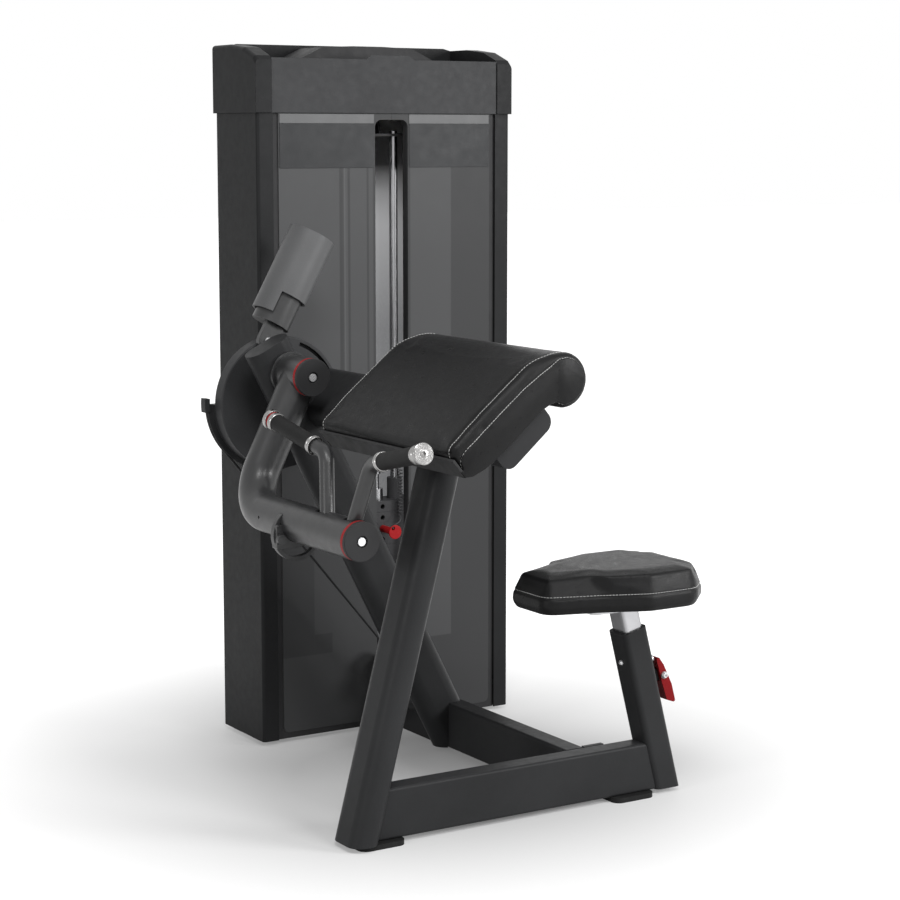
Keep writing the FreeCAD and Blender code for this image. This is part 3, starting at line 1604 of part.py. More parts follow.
def biarc(start, start_way, end, end_way):
    """Corners of the two tangent arcs that join two points with set directions."""
    gap = end.sub(start)
    both = start_way + end_way
    spread = 2 * (1 - start_way.dot(end_way))
    along = gap.dot(both)
    reach = (math.sqrt(along * along + spread * gap.dot(gap)) - along) / spread
    first = start + start_way * reach
    last = end - end_way * reach
    return first, (first + last) * 0.5, last


def tangent_arc(start, corner, end):
    """Arc that starts and ends along the two sides of a corner."""
    back = start.sub(corner)
    ahead = end.sub(corner)
    half = back.getAngle(ahead) / 2
    radius = back.Length * math.tan(half)
    middle = corner + (back.normalize() + ahead.normalize()).normalize() * (radius / math.sin(half) - radius)
    return Part.Arc(start, middle, end).toShape()


def curl_point(turn):
    angle = math.pi * (2 * turn + 1)
    x = curl_x + curl_radius * math.cos(angle)
    y = curl_y + curl_radius * math.sin(angle)
    return Vector(x, y, curl_top - curl_pitch * turn)


def curl_way(turn):
    angle = math.pi * (2 * turn + 1)
    round_length = 2 * math.pi * curl_radius
    return Vector(-math.sin(angle) * round_length, math.cos(angle) * round_length, -curl_pitch).normalize()


def lanyard():
    """Curly wire from the cable fork to the selector pin's ring."""
    edges = []
    steps = 2 * curl_turns
    for step in range(steps):
        begin = step / 2
        finish = (step + 1) / 2
        first, joint, last = biarc(curl_point(begin), curl_way(begin), curl_point(finish), curl_way(finish))
        edges.append(tangent_arc(curl_point(begin), first, joint))
        edges.append(tangent_arc(joint, last, curl_point(finish)))
    top_start = Vector(stack_x + fork_radius * 1.2, stack_y, fork_z() + fork_height * 0.6)
    top_way = x_way
    edges = arcs_between(top_start, top_way, curl_point(0), curl_way(0)) + edges
    z = pin_z()
    eye = Vector(stack_x - pin_ring_radius * 0.35, -pin_ring_front + 3 * pin_radius,
                 z + pin_ring_radius * 0.55)
    edges += arcs_between(curl_point(curl_turns), curl_way(curl_turns), eye, y_way * -1)
    edges.append(Part.makeLine(eye, eye - y_way * (3 * pin_radius)))
    path = Part.Wire(edges)
    store("lanyard", pipe(path, top_start, top_way, wire_radius))
    print("lanyard: length %.0f mm, least gap to itself %.2f mm" % (path.Length, least_gap(path)))


def least_gap(path):
    """Least free distance between parts of the wire that aren't neighbours, measured on points."""
    step = wire_radius
    points = path.discretize(Distance=step)
    skip = math.ceil(math.pi * curl_radius / step)
    least = path.Length
    for i, point in enumerate(points):
        for other in points[i + skip:]:
            least = min(least, point.distanceToPoint(other))
    return least - 2 * wire_radius


def arcs_between(start, start_way, end, end_way):
    first, joint, last = biarc(start, start_way, end, end_way)
    return [tangent_arc(start, first, joint), tangent_arc(joint, last, end)]


# Export

def build():
    tower_shell()
    tower_frame()
    weight_stack()
    fork()
    cables()
    pulleys()
    pulley_brackets()
    base_frame()
    crossbar()
    tube_caps()
    bearing_housing()
    curl_arm()
    arm_caps()
    rest_hoop()
    cam()
    counterweight()
    handles()
    arm_pad()
    pad_shell()
    seat_pad()
    seat_column()
    seat_lever()
    lanyard()


build()
os.makedirs("parts", exist_ok=True)
shift = Vector(-origin_x, -origin_y, 0)
for name, solids in parts.items():
    placed = Part.makeCompound(solids) if len(solids) > 1 else solids[0].copy()
    placed.translate(shift)
    placed.exportStep(os.path.join("parts", name + ".step"))
print("%d sub-parts" % len(parts))
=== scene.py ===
import json
import math
import bpy
import bmesh
from mathutils import Euler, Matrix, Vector
from mathutils.bvhtree import BVHTree
from mathutils.kdtree import KDTree


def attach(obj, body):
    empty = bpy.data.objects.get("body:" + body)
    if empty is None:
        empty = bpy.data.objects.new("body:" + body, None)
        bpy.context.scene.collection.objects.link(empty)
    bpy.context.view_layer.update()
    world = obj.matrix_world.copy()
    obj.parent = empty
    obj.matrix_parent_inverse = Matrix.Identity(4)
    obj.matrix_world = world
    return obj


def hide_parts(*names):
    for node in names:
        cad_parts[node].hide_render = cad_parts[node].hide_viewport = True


# Biceps curl machine. Places are in millimetres from the tower's left front corner, x to the right,
# y to the rear, z up from the floor, as in the CAD source. spot() turns them into the frame's metres.

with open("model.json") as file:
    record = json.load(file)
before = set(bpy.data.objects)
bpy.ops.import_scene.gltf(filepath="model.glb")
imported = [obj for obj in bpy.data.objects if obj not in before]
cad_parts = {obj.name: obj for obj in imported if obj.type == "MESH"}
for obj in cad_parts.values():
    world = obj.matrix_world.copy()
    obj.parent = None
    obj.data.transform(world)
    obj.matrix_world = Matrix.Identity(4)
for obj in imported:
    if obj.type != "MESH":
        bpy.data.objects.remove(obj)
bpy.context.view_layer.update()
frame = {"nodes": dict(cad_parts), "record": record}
cadNodes = frame["nodes"]
slotOf = {part["node"]: part["material_slot"] for part in frame["record"]["subparts"]}
origin = {"x": 203.7, "y": -388.5}


def spot(x, y, z):
    return Vector((x - origin["x"], y - origin["y"], z)) / 1000


def newObject(name, data, body=None, material=None):
    piece = bpy.data.objects.new(name, data)
    bpy.context.scene.collection.objects.link(piece)
    if material:
        data.materials.append(material)
    if body:
        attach(piece, body)
    return piece


# One procedural material: its node tree, with the shader's fixed values on the shader's own sockets
class Paint:
    def __init__(self, name, roughness, metallic=0.0, specular=0.5):
        self.material = bpy.data.materials.new(name)
        self.material.use_nodes = True
        self.tree = self.material.node_tree
        self.shader = self.tree.nodes["Principled BSDF"]
        self.shader.inputs["Roughness"].default_value = roughness
        self.shader.inputs["Metallic"].default_value = metallic
        self.shader.inputs["Specular IOR Level"].default_value = specular
        self.place = self.node("TexCoord").outputs["Object"]

    def node(self, kind, **values):
        made = self.tree.nodes.new("ShaderNode" + kind)
        for name, value in values.items():
            setattr(made, name, value)
        return made

    def link(self, output, target):
        self.tree.links.new(output, target)

    def noise(self, scale, detail=3.0, roughness=0.5, place=None):
        made = self.node("TexNoise")
        made.inputs["Scale"].default_value = scale
        made.inputs["Detail"].default_value = detail
        made.inputs["Roughness"].default_value = roughness
        self.link(place or self.place, made.inputs["Vector"])
        return made.outputs["Fac"]

    def cells(self, scale, feature="F1", smooth=None):
        made = self.node("TexVoronoi", feature=feature)
        made.inputs["Scale"].default_value = scale
        if smooth is not None:
            made.inputs["Smoothness"].default_value = smooth
        self.link(self.place, made.inputs["Vector"])
        return made.outputs["Distance"]

    # Places along the three axes, in the frame's metres
    def axes(self):
        made = self.node("SeparateXYZ")
        self.link(self.place, made.inputs[0])
        return made.outputs

    # One for what the camera, a mirror or glass sees, zero for the light that falls on things
    def seen(self):
        path = self.node("LightPath").outputs
        mirrored = self.calc("MAXIMUM", path["Is Glossy Ray"], path["Is Transmission Ray"])
        return self.calc("MAXIMUM", path["Is Camera Ray"], mirrored)

    def stretched(self, factors):
        made = self.node("Mapping")
        made.inputs["Scale"].default_value = factors
        self.link(self.place, made.inputs["Vector"])
        return made.outputs["Vector"]

    def calc(self, kind, first, second=None, third=None):
        made = self.node("Math", operation=kind)
        for index, value in enumerate((first, second, third)):
            if value is None:
                continue
            if isinstance(value, (int, float)):
                made.inputs[index].default_value = value
            else:
                self.link(value, made.inputs[index])
        return made.outputs[0]

    def spread(self, value, low, high, lowOut=0.0, highOut=1.0):
        made = self.node("MapRange")
        for name, number in zip(("From Min", "From Max", "To Min", "To Max"), (low, high, lowOut, highOut)):
            made.inputs[name].default_value = number
        self.link(value, made.inputs["Value"])
        return made.outputs["Result"]

    def mix(self, factor, first, second):
        made = self.node("Mix", data_type="RGBA")
        self.link(factor, made.inputs["Factor"])
        for socket, value in ((made.inputs["A"], first), (made.inputs["B"], second)):
            if isinstance(value, tuple):
                socket.default_value = (*value, 1)
            else:
                self.link(value, socket)
        return made.outputs["Result"]

    def colour(self, output):
        self.link(output, self.shader.inputs["Base Color"])

    def rough(self, output):
        self.link(output, self.shader.inputs["Roughness"])

    # Bumps one on the other, each given as height, depth in metres and strength; edge rounds the corners
    def bump(self, heights, edge=None):
        normal = None
        if edge:
            bevel = self.node("Bevel", samples=4)
            bevel.inputs["Radius"].default_value = edge
            normal = bevel.outputs["Normal"]
        for height, depth, strength in heights:
            made = self.node("Bump")
            made.inputs["Distance"].default_value = depth
            made.inputs["Strength"].default_value = strength
            self.link(height, made.inputs["Height"])
            if normal:
                self.link(normal, made.inputs["Normal"])
            normal = made.outputs["Normal"]
        self.link(normal, self.shader.inputs["Normal"])

    # Lets a share of the light through to what is behind, as a smoked sheet does
    def letLightIn(self, share):
        out = self.tree.nodes["Material Output"]
        clear = self.node("BsdfTransparent")
        mixed = self.node("MixShader")
        shadow = self.node("LightPath").outputs["Is Shadow Ray"]
        self.link(self.calc("MULTIPLY", shadow, share), mixed.inputs[0])
        self.link(self.shader.outputs[0], mixed.inputs[1])
        self.link(clear.outputs[0], mixed.inputs[2])
        self.link(mixed.outputs[0], out.inputs["Surface"])

    # One along sharp outer and inner edges, zero on open faces
    def edgeMask(self, radius, low=0.02, high=0.25):
        bevel = self.node("Bevel", samples=4)
        bevel.inputs["Radius"].default_value = radius
        face = self.node("NewGeometry").outputs["Normal"]
        dot = self.node("VectorMath", operation="DOT_PRODUCT")
        self.link(bevel.outputs["Normal"], dot.inputs[0])
        self.link(face, dot.inputs[1])
        away = self.calc("SUBTRACT", 1.0, dot.outputs["Value"])
        return self.spread(away, low, high)


# Camera, floor and lights

view = {"place": (-2208.3, -4318.2, 1338.1), "tilt": 82.065, "turn": -31.955, "lens": 89.77}

studio = {
    "world": 0.25,
    "floorSize": 60.0,
    "floorColour": (0.48, 0.48, 0.48),
    "floorGlow": 0.12,  # near the machine, and rising to 1 between the two distances
    "clearFrom": 0.3,
    "clearTo": 1.45,
    "lights": [
        {"name": "keyLight", "at": (850, -4100, 3400), "to": (250, -600, 600), "size": 1.2, "power": 62},
        # mirrored in the seat's near side
        {"name": "rightLight", "at": (2790, -3714, 1788), "to": (420, -850, 465), "size": 1.3, "power": 116},
        # mirrored along the rounded end of the arm pad
        {"name": "topLight", "at": (-900, -2420, 3700), "to": (0, -900, 800), "size": 1.1, "power": 62},
        # mirrored down the arm's tube
        {"name": "leftLight", "at": (-3500, -1500, 1450), "to": (-100, -600, 700), "size": 0.7, "power": 30},
    ],
}


def makeCamera():
    data = bpy.data.cameras.new("photoView")
    data.lens = view["lens"]
    data.sensor_width = 36
    camera = newObject("photoView", data)
    camera.location = spot(*view["place"])
    camera.rotation_euler = Euler((math.radians(view["tilt"]), 0, math.radians(view["turn"])))
    bpy.context.scene.camera = camera


def makeLights():
    for light in studio["lights"]:
        data = bpy.data.lights.new(light["name"], "AREA")
        data.shape = "SQUARE"
        data.size = light["size"]
        data.energy = light["power"]
        lamp = newObject(light["name"], data)
        lamp.location = spot(*light["at"])
        aim = spot(*light["to"]) - lamp.location
        lamp.rotation_euler = aim.to_track_quat("-Z", "Y").to_euler()


def makeWorld():
    world = bpy.data.worlds.new("studioWorld")
    bpy.context.scene.world = world
    world.use_nodes = True
    tree = world.node_tree
    tree.nodes.clear()
    out = tree.nodes.new("ShaderNodeOutputWorld")
    mix = tree.nodes.new("ShaderNodeMixShader")
    path = tree.nodes.new("ShaderNodeLightPath").outputs
    mirrored = tree.nodes.new("ShaderNodeMath")
    either = tree.nodes.new("ShaderNodeMath")
    mirrored.operation = either.operation = "MAXIMUM"
    tree.links.new(path["Is Glossy Ray"], mirrored.inputs[0])
    tree.links.new(path["Is Transmission Ray"], mirrored.inputs[1])
    tree.links.new(path["Is Camera Ray"], either.inputs[0])
    tree.links.new(mirrored.outputs[0], either.inputs[1])
    tree.links.new(either.outputs[0], mix.inputs["Fac"])
    # first the light that falls on things, then what is seen
    for index, strength in ((1, studio["world"]), (2, 1.0)):
        background = tree.nodes.new("ShaderNodeBackground")
        background.inputs["Color"].default_value = (1, 1, 1, 1)
        background.inputs["Strength"].default_value = strength
        tree.links.new(background.outputs[0], mix.inputs[index])
    tree.links.new(mix.outputs[0], out.inputs["Surface"])


def makeFloor():
    half = studio["floorSize"] / 2
    mesh = bpy.data.meshes.new("floor")
    corners = [(-half, -half, 0), (half, -half, 0), (half, half, 0), (-half, half, 0)]
    mesh.from_pydata(corners, [], [(0, 1, 2, 3)])
    floor = newObject("floor", mesh)
    paint = Paint("paleFloor", 0.6, specular=0.2)
    paint.shader.inputs["Base Color"].default_value = (*studio["floorColour"], 1)
    paint.shader.inputs["Emission Color"].default_value = (1, 1, 1, 1)
    reach = paint.node("VectorMath", operation="LENGTH")
    paint.link(paint.place, reach.inputs[0])
    away = paint.spread(reach.outputs["Value"], studio["clearFrom"], studio["clearTo"])
    glow = paint.spread(away, 0, 1, studio["floorGlow"], 1.0)
    paint.link(paint.calc("MULTIPLY", glow, paint.seen()), paint.shader.inputs["Emission Strength"])
    mesh.materials.append(paint.material)


bpy.context.scene.view_settings.view_transform = "Standard"
makeCamera()
makeWorld()
makeLights()
makeFloor()
print("camera, lights and floor made")


# Materials

def tinted(colour, factor):
    return tuple(c * factor for c in colour)


# Fine-textured powder coat, a little lighter along its edges in patches
def powderCoat(name, colour, roughness=0.4, edgeLift=1.6, specular=0.08):
    paint = Paint(name, roughness, specular=specular)
    broad = paint.noise(5, 4, 0.6)
    fine = paint.noise(900, 2, 0.5)
    pebbles = paint.cells(420, "SMOOTH_F1", 0.6)
    base = paint.mix(paint.spread(broad, 0.35, 0.65), tinted(colour, 0.9), tinted(colour, 1.1))
    specks = paint.mix(paint.spread(fine, 0.55, 0.75), base, tinted(colour, 1.35))
    patches = paint.spread(paint.noise(38, 5, 0.7), 0.35, 0.6, 0.25, 1)
    lighterEdges = paint.calc("MULTIPLY", paint.edgeMask(0.0014), patches)
    paint.colour(paint.mix(lighterEdges, specks, tinted(colour, edgeLift)))
    paint.rough(paint.spread(paint.noise(60, 4, 0.6), 0.3, 0.7, roughness - 0.05, roughness + 0.06))
    paint.bump([(fine, 0.0004, 0.16), (pebbles, 0.0006, 0.1)], edge=0.0016)
    return paint.material


def mouldedPlastic(name, colour, roughness=0.5):
    paint = Paint(name, roughness, specular=0.12)
    grain = paint.cells(1400, "SMOOTH_F1", 0.5)
    broad = paint.noise(9, 3, 0.5)
    base = paint.mix(paint.spread(broad, 0.35, 0.65), tinted(colour, 0.88), tinted(colour, 1.12))
    patches = paint.spread(paint.noise(55, 4, 0.7), 0.4, 0.62, 0.15, 1)
    # lighter along the edges in patches
    lighterEdges = paint.calc("MULTIPLY", paint.edgeMask(0.001), patches)
    paint.colour(paint.mix(lighterEdges, base, tinted(colour, 1.6)))
    paint.rough(paint.spread(paint.noise(40, 4, 0.6), 0.3, 0.7, roughness - 0.05, roughness + 0.07))
    paint.bump([(grain, 0.0003, 0.22)], edge=0.0012)
    return paint.material


def rubber(name, colour, roughness=0.62):
    paint = Paint(name, roughness, specular=0.14)
    pores = paint.noise(1600, 3, 0.6)
    dust = paint.noise(26, 5, 0.65)
    paint.colour(paint.mix(paint.spread(dust, 0.45, 0.75), colour, tinted(colour, 1.7)))
    paint.rough(paint.spread(pores, 0.3, 0.7, roughness - 0.06, roughness + 0.08))
    paint.bump([(pores, 0.0005, 0.28)], edge=0.0015)
    return paint.material


# Metal with fine lines, drawn out along one axis by the stretch
def brushedMetal(name, colour, roughness=0.24, stretch=(1, 1, 60), scale=660, metallic=1.0):
    paint = Paint(name, roughness, metallic=metallic)
    lines = paint.noise(scale, 3, 0.55, paint.stretched(stretch))
    cloud = paint.noise(14, 4, 0.6)
    paint.colour(paint.mix(paint.spread(cloud, 0.35, 0.7), tinted(colour, 0.86), colour))
    paint.rough(paint.spread(lines, 0.25, 0.75, roughness - 0.06, roughness + 0.12))
    paint.bump([(lines, 0.00012, 0.3)], edge=0.0008)
    return paint.material


def leather(name, colour, roughness=0.31):
    paint = Paint(name, roughness, specular=0.1)
    pebble = paint.cells(760, "SMOOTH_F1", 0.35)
    creases = paint.spread(paint.cells(520, "DISTANCE_TO_EDGE"), 0.0, 0.12)
    soft = paint.noise(24, 4, 0.55)
    base = paint.mix(paint.spread(soft, 0.35, 0.7), tinted(colour, 0.86), tinted(colour, 1.16))
    paint.colour(paint.mix(creases, tinted(colour, 0.7), base))
    paint.rough(paint.spread(paint.noise(70, 4, 0.6), 0.3, 0.7, roughness - 0.05, roughness + 0.08))
    paint.bump([(soft, 0.0012, 0.12), (pebble, 0.0004, 0.3), (creases, 0.0002, 0.3)])
    return paint.material


def thread(name, colour):
    paint = Paint(name, 0.55, specular=0.3)
    twist = paint.noise(2600, 2, 0.5)
    paint.colour(paint.mix(paint.spread(twist, 0.35, 0.65), tinted(colour, 0.75), colour))
    paint.bump([(twist, 0.0002, 0.4)])
    return paint.material


# Tones of the smoked sheets with painted light and shade from behind them, the lit rear wall lighter and the
# inner frame darker, and where each lies as (x0, x1, z0, z1): later rows lie over earlier ones
sheetAndInteriorTones = {"deep": 0.058, "low": 0.048, "side": 0.056, "light": 0.078, "line": 0.056, "bright": 0.095}

panelLightZones = {
    "front_panel_left": ("deep", [
        (47, 293, 705, 1272, "light"), (201, 209, 705, 1272, "line"), (209, 212, 705, 1272, "side"),
        (212, 216, 705, 1272, "bright"), (222, 228, 705, 1272, "line"), (270, 275, 705, 1272, "line"),
        (286, 293, 705, 1272, "line"), (47, 131, 193, 705, "low"), (131, 176, 193, 238, "low")]),
    "front_panel_right": ("side", [(376, 489, 199, 1272, "light"), (376, 382, 199, 1272, "side")]),
}


# One between two places along an axis, zero outside
def band(paint, value, low, high, edge=0.0012):
    rise = paint.spread(value, low - edge, low + edge)
    fall = paint.spread(value, high + edge, high - edge)
    return paint.calc("MULTIPLY", rise, fall)


def smokedPanelPaintedInterior(name, ground, zones):
    paint = Paint(name, 0.4, specular=0.05)
    axes = paint.axes()
    cloud = paint.spread(paint.noise(2.4, 2, 0.5), 0.3, 0.7)
    grey = sheetAndInteriorTones[ground]
    base = paint.mix(cloud, (grey * 0.97, grey * 0.98, grey), (grey * 1.02, grey * 1.03, grey * 1.05))
    # each zone paints the light and shade of the tower's inside, seen through the sheet, over the sheet's own
    # tone
    for x0, x1, z0, z1, tone in zones:
        low, high = spot(x0, 0, z0), spot(x1, 0, z1)
        within = paint.calc("MULTIPLY", band(paint, axes["X"], low.x, high.x),
                            band(paint, axes["Z"], low.z, high.z))
        grey = sheetAndInteriorTones[tone]
        base = paint.mix(within, base, (grey * 0.99, grey, grey * 1.02))
    paint.colour(base)
    paint.rough(paint.spread(paint.noise(30, 5, 0.6), 0.3, 0.7, 0.36, 0.44))
    paint.bump([(paint.noise(700, 2, 0.5), 0.0002, 0.04)], edge=0.001)
    paint.letLightIn(0.9)
    return paint.material


# Header strip above, darker bare placard below
placard = {"split": 1368.0, "edge": 0.0008, "strip": (0.125, 0.126, 0.128), "plate": (0.029, 0.03, 0.0315)}


def headerPlate():
    paint = Paint("headerPlate", 0.36, specular=0.1)
    axes = paint.axes()
    split = spot(0, 0, placard["split"]).z
    upper = paint.spread(axes["Z"], split - placard["edge"], split + placard["edge"])
    cloud = paint.spread(paint.noise(12, 3, 0.5), 0.3, 0.7)
    plate = paint.mix(cloud, tinted(placard["plate"], 0.95), tinted(placard["plate"], 1.05))
    strip = paint.mix(cloud, tinted(placard["strip"], 0.95), tinted(placard["strip"], 1.05))
    paint.colour(paint.mix(upper, plate, strip))
    paint.rough(paint.spread(paint.noise(40, 4, 0.6), 0.3, 0.7, 0.32, 0.42))
    paint.bump([(paint.cells(1400, "SMOOTH_F1", 0.5), 0.0002, 0.1)], edge=0.0008)
    return paint.material


# The wall behind the slot, with painted light: lighter toward its top, where less light falls in
slotWallLight = {
    "from": 0.9, "to": 1.3,
    "low": (0.24, 0.243, 0.25), "high": (0.64, 0.64, 0.65), "speck": (0.45, 0.45, 0.46),
}


def innerPaintAndLight():
    paint = Paint("innerPaintAndLight", 0.5, specular=0.08)
    axes = paint.axes()
    height = paint.spread(axes["Z"], slotWallLight["from"], slotWallLight["to"])
    fine = paint.noise(900, 2, 0.5)
    # painted light: the wall lighter up toward its top
    base = paint.mix(height, slotWallLight["low"], slotWallLight["high"])
    paint.colour(paint.mix(paint.spread(fine, 0.45, 0.8), base, slotWallLight["speck"]))
    paint.rough(paint.spread(paint.noise(60, 4, 0.6), 0.3, 0.7, 0.45, 0.56))
    paint.bump([(fine, 0.0004, 0.12)], edge=0.0016)
    return paint.material


def makeMaterials():
    return {
        "charcoal_paint": powderCoat("charcoalPaint", (0.026, 0.0264, 0.0274)),
        # a darker copy of the charcoal: painted shade
        "shroud_paint": powderCoat("shroudPaintShaded", (0.018, 0.0183, 0.019), 0.42, edgeLift=1.6, specular=0.06),
        # a lighter copy of the charcoal: painted light
        "fascia_paint": powderCoat("fasciaPaintLit", (0.037, 0.0375, 0.039), 0.42, edgeLift=1.4),
        "satin_paint": powderCoat("satinPaint", (0.021, 0.0213, 0.022), 0.34, edgeLift=1.5, specular=0.46),
        "inner_paint": innerPaintAndLight(),
        "sleeve_paint": powderCoat("sleevePaint", (0.085, 0.086, 0.088), 0.42, edgeLift=1.4, specular=0.3),
        "header_plate": headerPlate(),
        "black_plastic": mouldedPlastic("blackPlastic", (0.03, 0.03, 0.031)),
        "red_plastic": mouldedPlastic("redPlastic", (0.32, 0.01, 0.012), 0.38),
        "red_paint": powderCoat("redPaint", (0.2, 0.008, 0.01), 0.42, edgeLift=1.2),
        "plate_paint": powderCoat("platePaint", (0.05, 0.05, 0.052), 0.5, edgeLift=1.5),
        "bright_steel": brushedMetal("brightSteel", (0.38, 0.38, 0.39)),
        "chrome_bolts": brushedMetal("chromeBolts", (0.78, 0.78, 0.79), 0.24, metallic=0.6),
        "turned_aluminium": brushedMetal("turnedAluminium", (0.31, 0.306, 0.302), 0.22, (1, 1, 1), 2700),
        "black_rubber": rubber("blackRubber", (0.011, 0.011, 0.011)),
        "cable_jacket": rubber("cableJacket", (0.02, 0.02, 0.021), 0.42),
        "lanyard_wire": rubber("lanyardWire", (0.06, 0.06, 0.062), 0.35),
        "black_leather": leather("blackLeather", (0.011, 0.011, 0.0113)),
        "seam_thread": thread("seamThread", (0.66, 0.66, 0.65)),
    }


materials = makeMaterials()


# Charcoal parts whose material isn't the plain one: swinging steel with a closer sheen; shrouds and crown
# shell take a darker copy of the charcoal, painted shade; fascia and cam disc a lighter copy, painted light
coatAndShadeOf = {
    "curl_arm": "satin_paint", "handle_frame": "satin_paint", "weight_core": "satin_paint",
    "weight_bar": "satin_paint", "bearing_housing": "satin_paint", "rest_hoop": "satin_paint",
    "side_shrouds": "shroud_paint", "crown_shell": "shroud_paint",
    "crown_fascia": "fascia_paint", "cam_disc": "fascia_paint",
}


def paintNodes():
    for name, piece in cadNodes.items():
        if name in panelLightZones:
            material = smokedPanelPaintedInterior("smoked_" + name, *panelLightZones[name])
        else:
            material = materials[coatAndShadeOf.get(name, slotOf[name])]
        for index in range(len(piece.data.materials)):
            piece.material_slots[index].material = material
        if not piece.data.materials:
            piece.data.materials.append(material)


paintNodes()
print("materials on", len(cadNodes), "nodes")


# Lanyard of the selector pin: one curly wire

wire = {
    "diameter": 2.2, "length": 0.583,
    "curls": 14, "radius": 5.0, "pitch": 7.5, "perTurn": 12,
    "x": 366.0, "y": 22.0, "top": 592.0,  # upper end of the curls' axis
    "start": [(342.4, 70, 598.4), (352, 69.5, 598.6), (360.5, 63, 598), (361.5, 44, 595)],
    "end": [(361, 10, 484), (352, 0, 474), (330, 0, 465), (322.4, -8, 464.3), (322.4, -20, 464.3)],
}


# Control points of the helix, from its top down
def curlPoints():
    points = []
    for step in range(wire["curls"] * wire["perTurn"] + 1):
        turn = step / wire["perTurn"]
        angle = math.pi * (2 * turn + 1)
        x = wire["x"] + wire["radius"] * math.cos(angle)
        y = wire["y"] + wire["radius"] * math.sin(angle)
        points.append((x, y, wire["top"] - wire["pitch"] * turn))
    return points


def makeLanyard():
    points = wire["start"] + curlPoints() + wire["end"]
    curve = bpy.data.curves.new("lanyardWire", "CURVE")
    curve.dimensions = "3D"
    curve.bevel_depth = wire["diameter"] / 2000
    curve.bevel_resolution = 3
    curve.resolution_u = 6
    curve.use_fill_caps = True
    spline = curve.splines.new("NURBS")
    spline.points.add(len(points) - 1)
    for point, place in zip(spline.points, points):
        point.co = (*spot(*place), 1)
    spline.order_u = 3
    spline.use_endpoint_u = True
    piece = newObject("lanyardCord", curve, "stack", materials["lanyard_wire"])
    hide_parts("lanyard")


makeLanyard()
print("lanyard made")


# Pads: meshes, cloth swelling and stitching

def meshFrom(name, vertices, faces):
    mesh = bpy.data.meshes.new(name)
    mesh.from_pydata([tuple(v) for v in vertices], [], faces)
    mesh.update()
    return mesh


# Faces between closed rings of equal count, with both ends filled
def loftRings(rings):
    count = len(rings[0])
    vertices = [v for ring in rings for v in ring]
    faces = []
    for level in range(len(rings) - 1):
        low = level * count
        for i in range(count):
            j = (i + 1) % count
            faces.append((low + i, low + j, low + count + j, low + count + i))
    faces.append(tuple(reversed(range(count))))
    faces.append(tuple(range((len(rings) - 1) * count, len(rings) * count)))
    return vertices, faces


def applyModifiers(piece):
    depsgraph = bpy.context.evaluated_depsgraph_get()
    mesh = bpy.data.meshes.new_from_object(piece.evaluated_get(depsgraph))
    piece.modifiers.clear()
    old = piece.data
    piece.data = mesh
    bpy.data.meshes.remove(old)


# Remeshes a pad, lets cloth pressure fill it, caps how far each point moves, and smooths it
def swell(piece, settings, isHeld):
    remesh = piece.modifiers.new("remesh", "REMESH")
    remesh.mode = "VOXEL"
    remesh.voxel_size = settings["voxel"] / 1000
    applyModifiers(piece)
    rest = [v.co.copy() for v in piece.data.vertices]
    held = piece.vertex_groups.new(name="held")
    held.add([v.index for v in piece.data.vertices if isHeld(v.co)], 1.0, "REPLACE")
    cloth = piece.modifiers.new("cloth", "CLOTH")
    cloth.settings.use_pressure = True
    cloth.settings.uniform_pressure_force = settings["pressure"]
    cloth.settings.effector_weights.gravity = 0
    cloth.settings.vertex_group_mass = "held"
    cloth.settings.tension_stiffness = settings["stiffness"]
    cloth.settings.compression_stiffness = settings["stiffness"]
    cloth.settings.bending_stiffness = settings["stiffness"] / 2
    cloth.collision_settings.use_collision = False
    cloth.point_cache.frame_start = 1
    cloth.point_cache.frame_end = settings["frames"]
    for number in range(1, settings["frames"] + 1):
        bpy.context.scene.frame_set(number)
    applyModifiers(piece)
    limit = settings["cap"] / 1000
    for vertex, start in zip(piece.data.vertices, rest):
        move = vertex.co - start
        if move.length > limit:
            vertex.co = start + move.normalized() * limit
    bpy.context.scene.frame_set(1)
    smooth = piece.modifiers.new("smooth", "SUBSURF")
    smooth.levels = smooth.render_levels = 1
    applyModifiers(piece)
    piece.data.polygons.foreach_set("use_smooth", [True] * len(piece.data.polygons))


def treeOf(piece):
    places = [v.co.copy() for v in piece.data.vertices]
    return BVHTree.FromPolygons(places, [tuple(p.vertices) for p in piece.data.polygons])


# Draws the skin in along seams, each a list of points near the surface
def pressSeams(piece, seams, depth, width):
    points = [p for seam in seams for p in denser(seam, width / 3)]
    tree = KDTree(len(points))
    for index, point in enumerate(points):
        tree.insert(point, index)
    tree.balance()
    for vertex in piece.data.vertices:
        reach = tree.find(vertex.co)[2]
        if reach < 3 * width:
            vertex.co -= vertex.normal * depth * math.exp(-(reach / width) ** 2)
    piece.data.update()


# Points along a polyline at most a step apart
def denser(points, step):
    result = [points[0]]
    for start, end in zip(points, points[1:]):
        parts = max(1, math.ceil((end - start).length / step))
        result += [start.lerp(end, i / parts) for i in range(1, parts + 1)]
    return result


# Points moved on to the skin along a direction that each point gives
def onSkin(tree, points, outward):
    above, reach = 0.03, 0.08
    found = []
    for point in points:
        way = outward(point).normalized()
        hit = tree.ray_cast(point + way * above, -way, reach)
        if hit[0]:
            found.append((hit[0], hit[1]))
    return found


stitch = {
    "long": 4.8, "gap": 0.8, "radius": 0.52, "lift": 0.4, "sides": 6,
    # places as a share of half a stitch's length, and its girth there
    "shape": [(-1, 0.35), (-0.72, 0.95), (0, 1.05), (0.72, 0.95), (1, 0.35)],
}


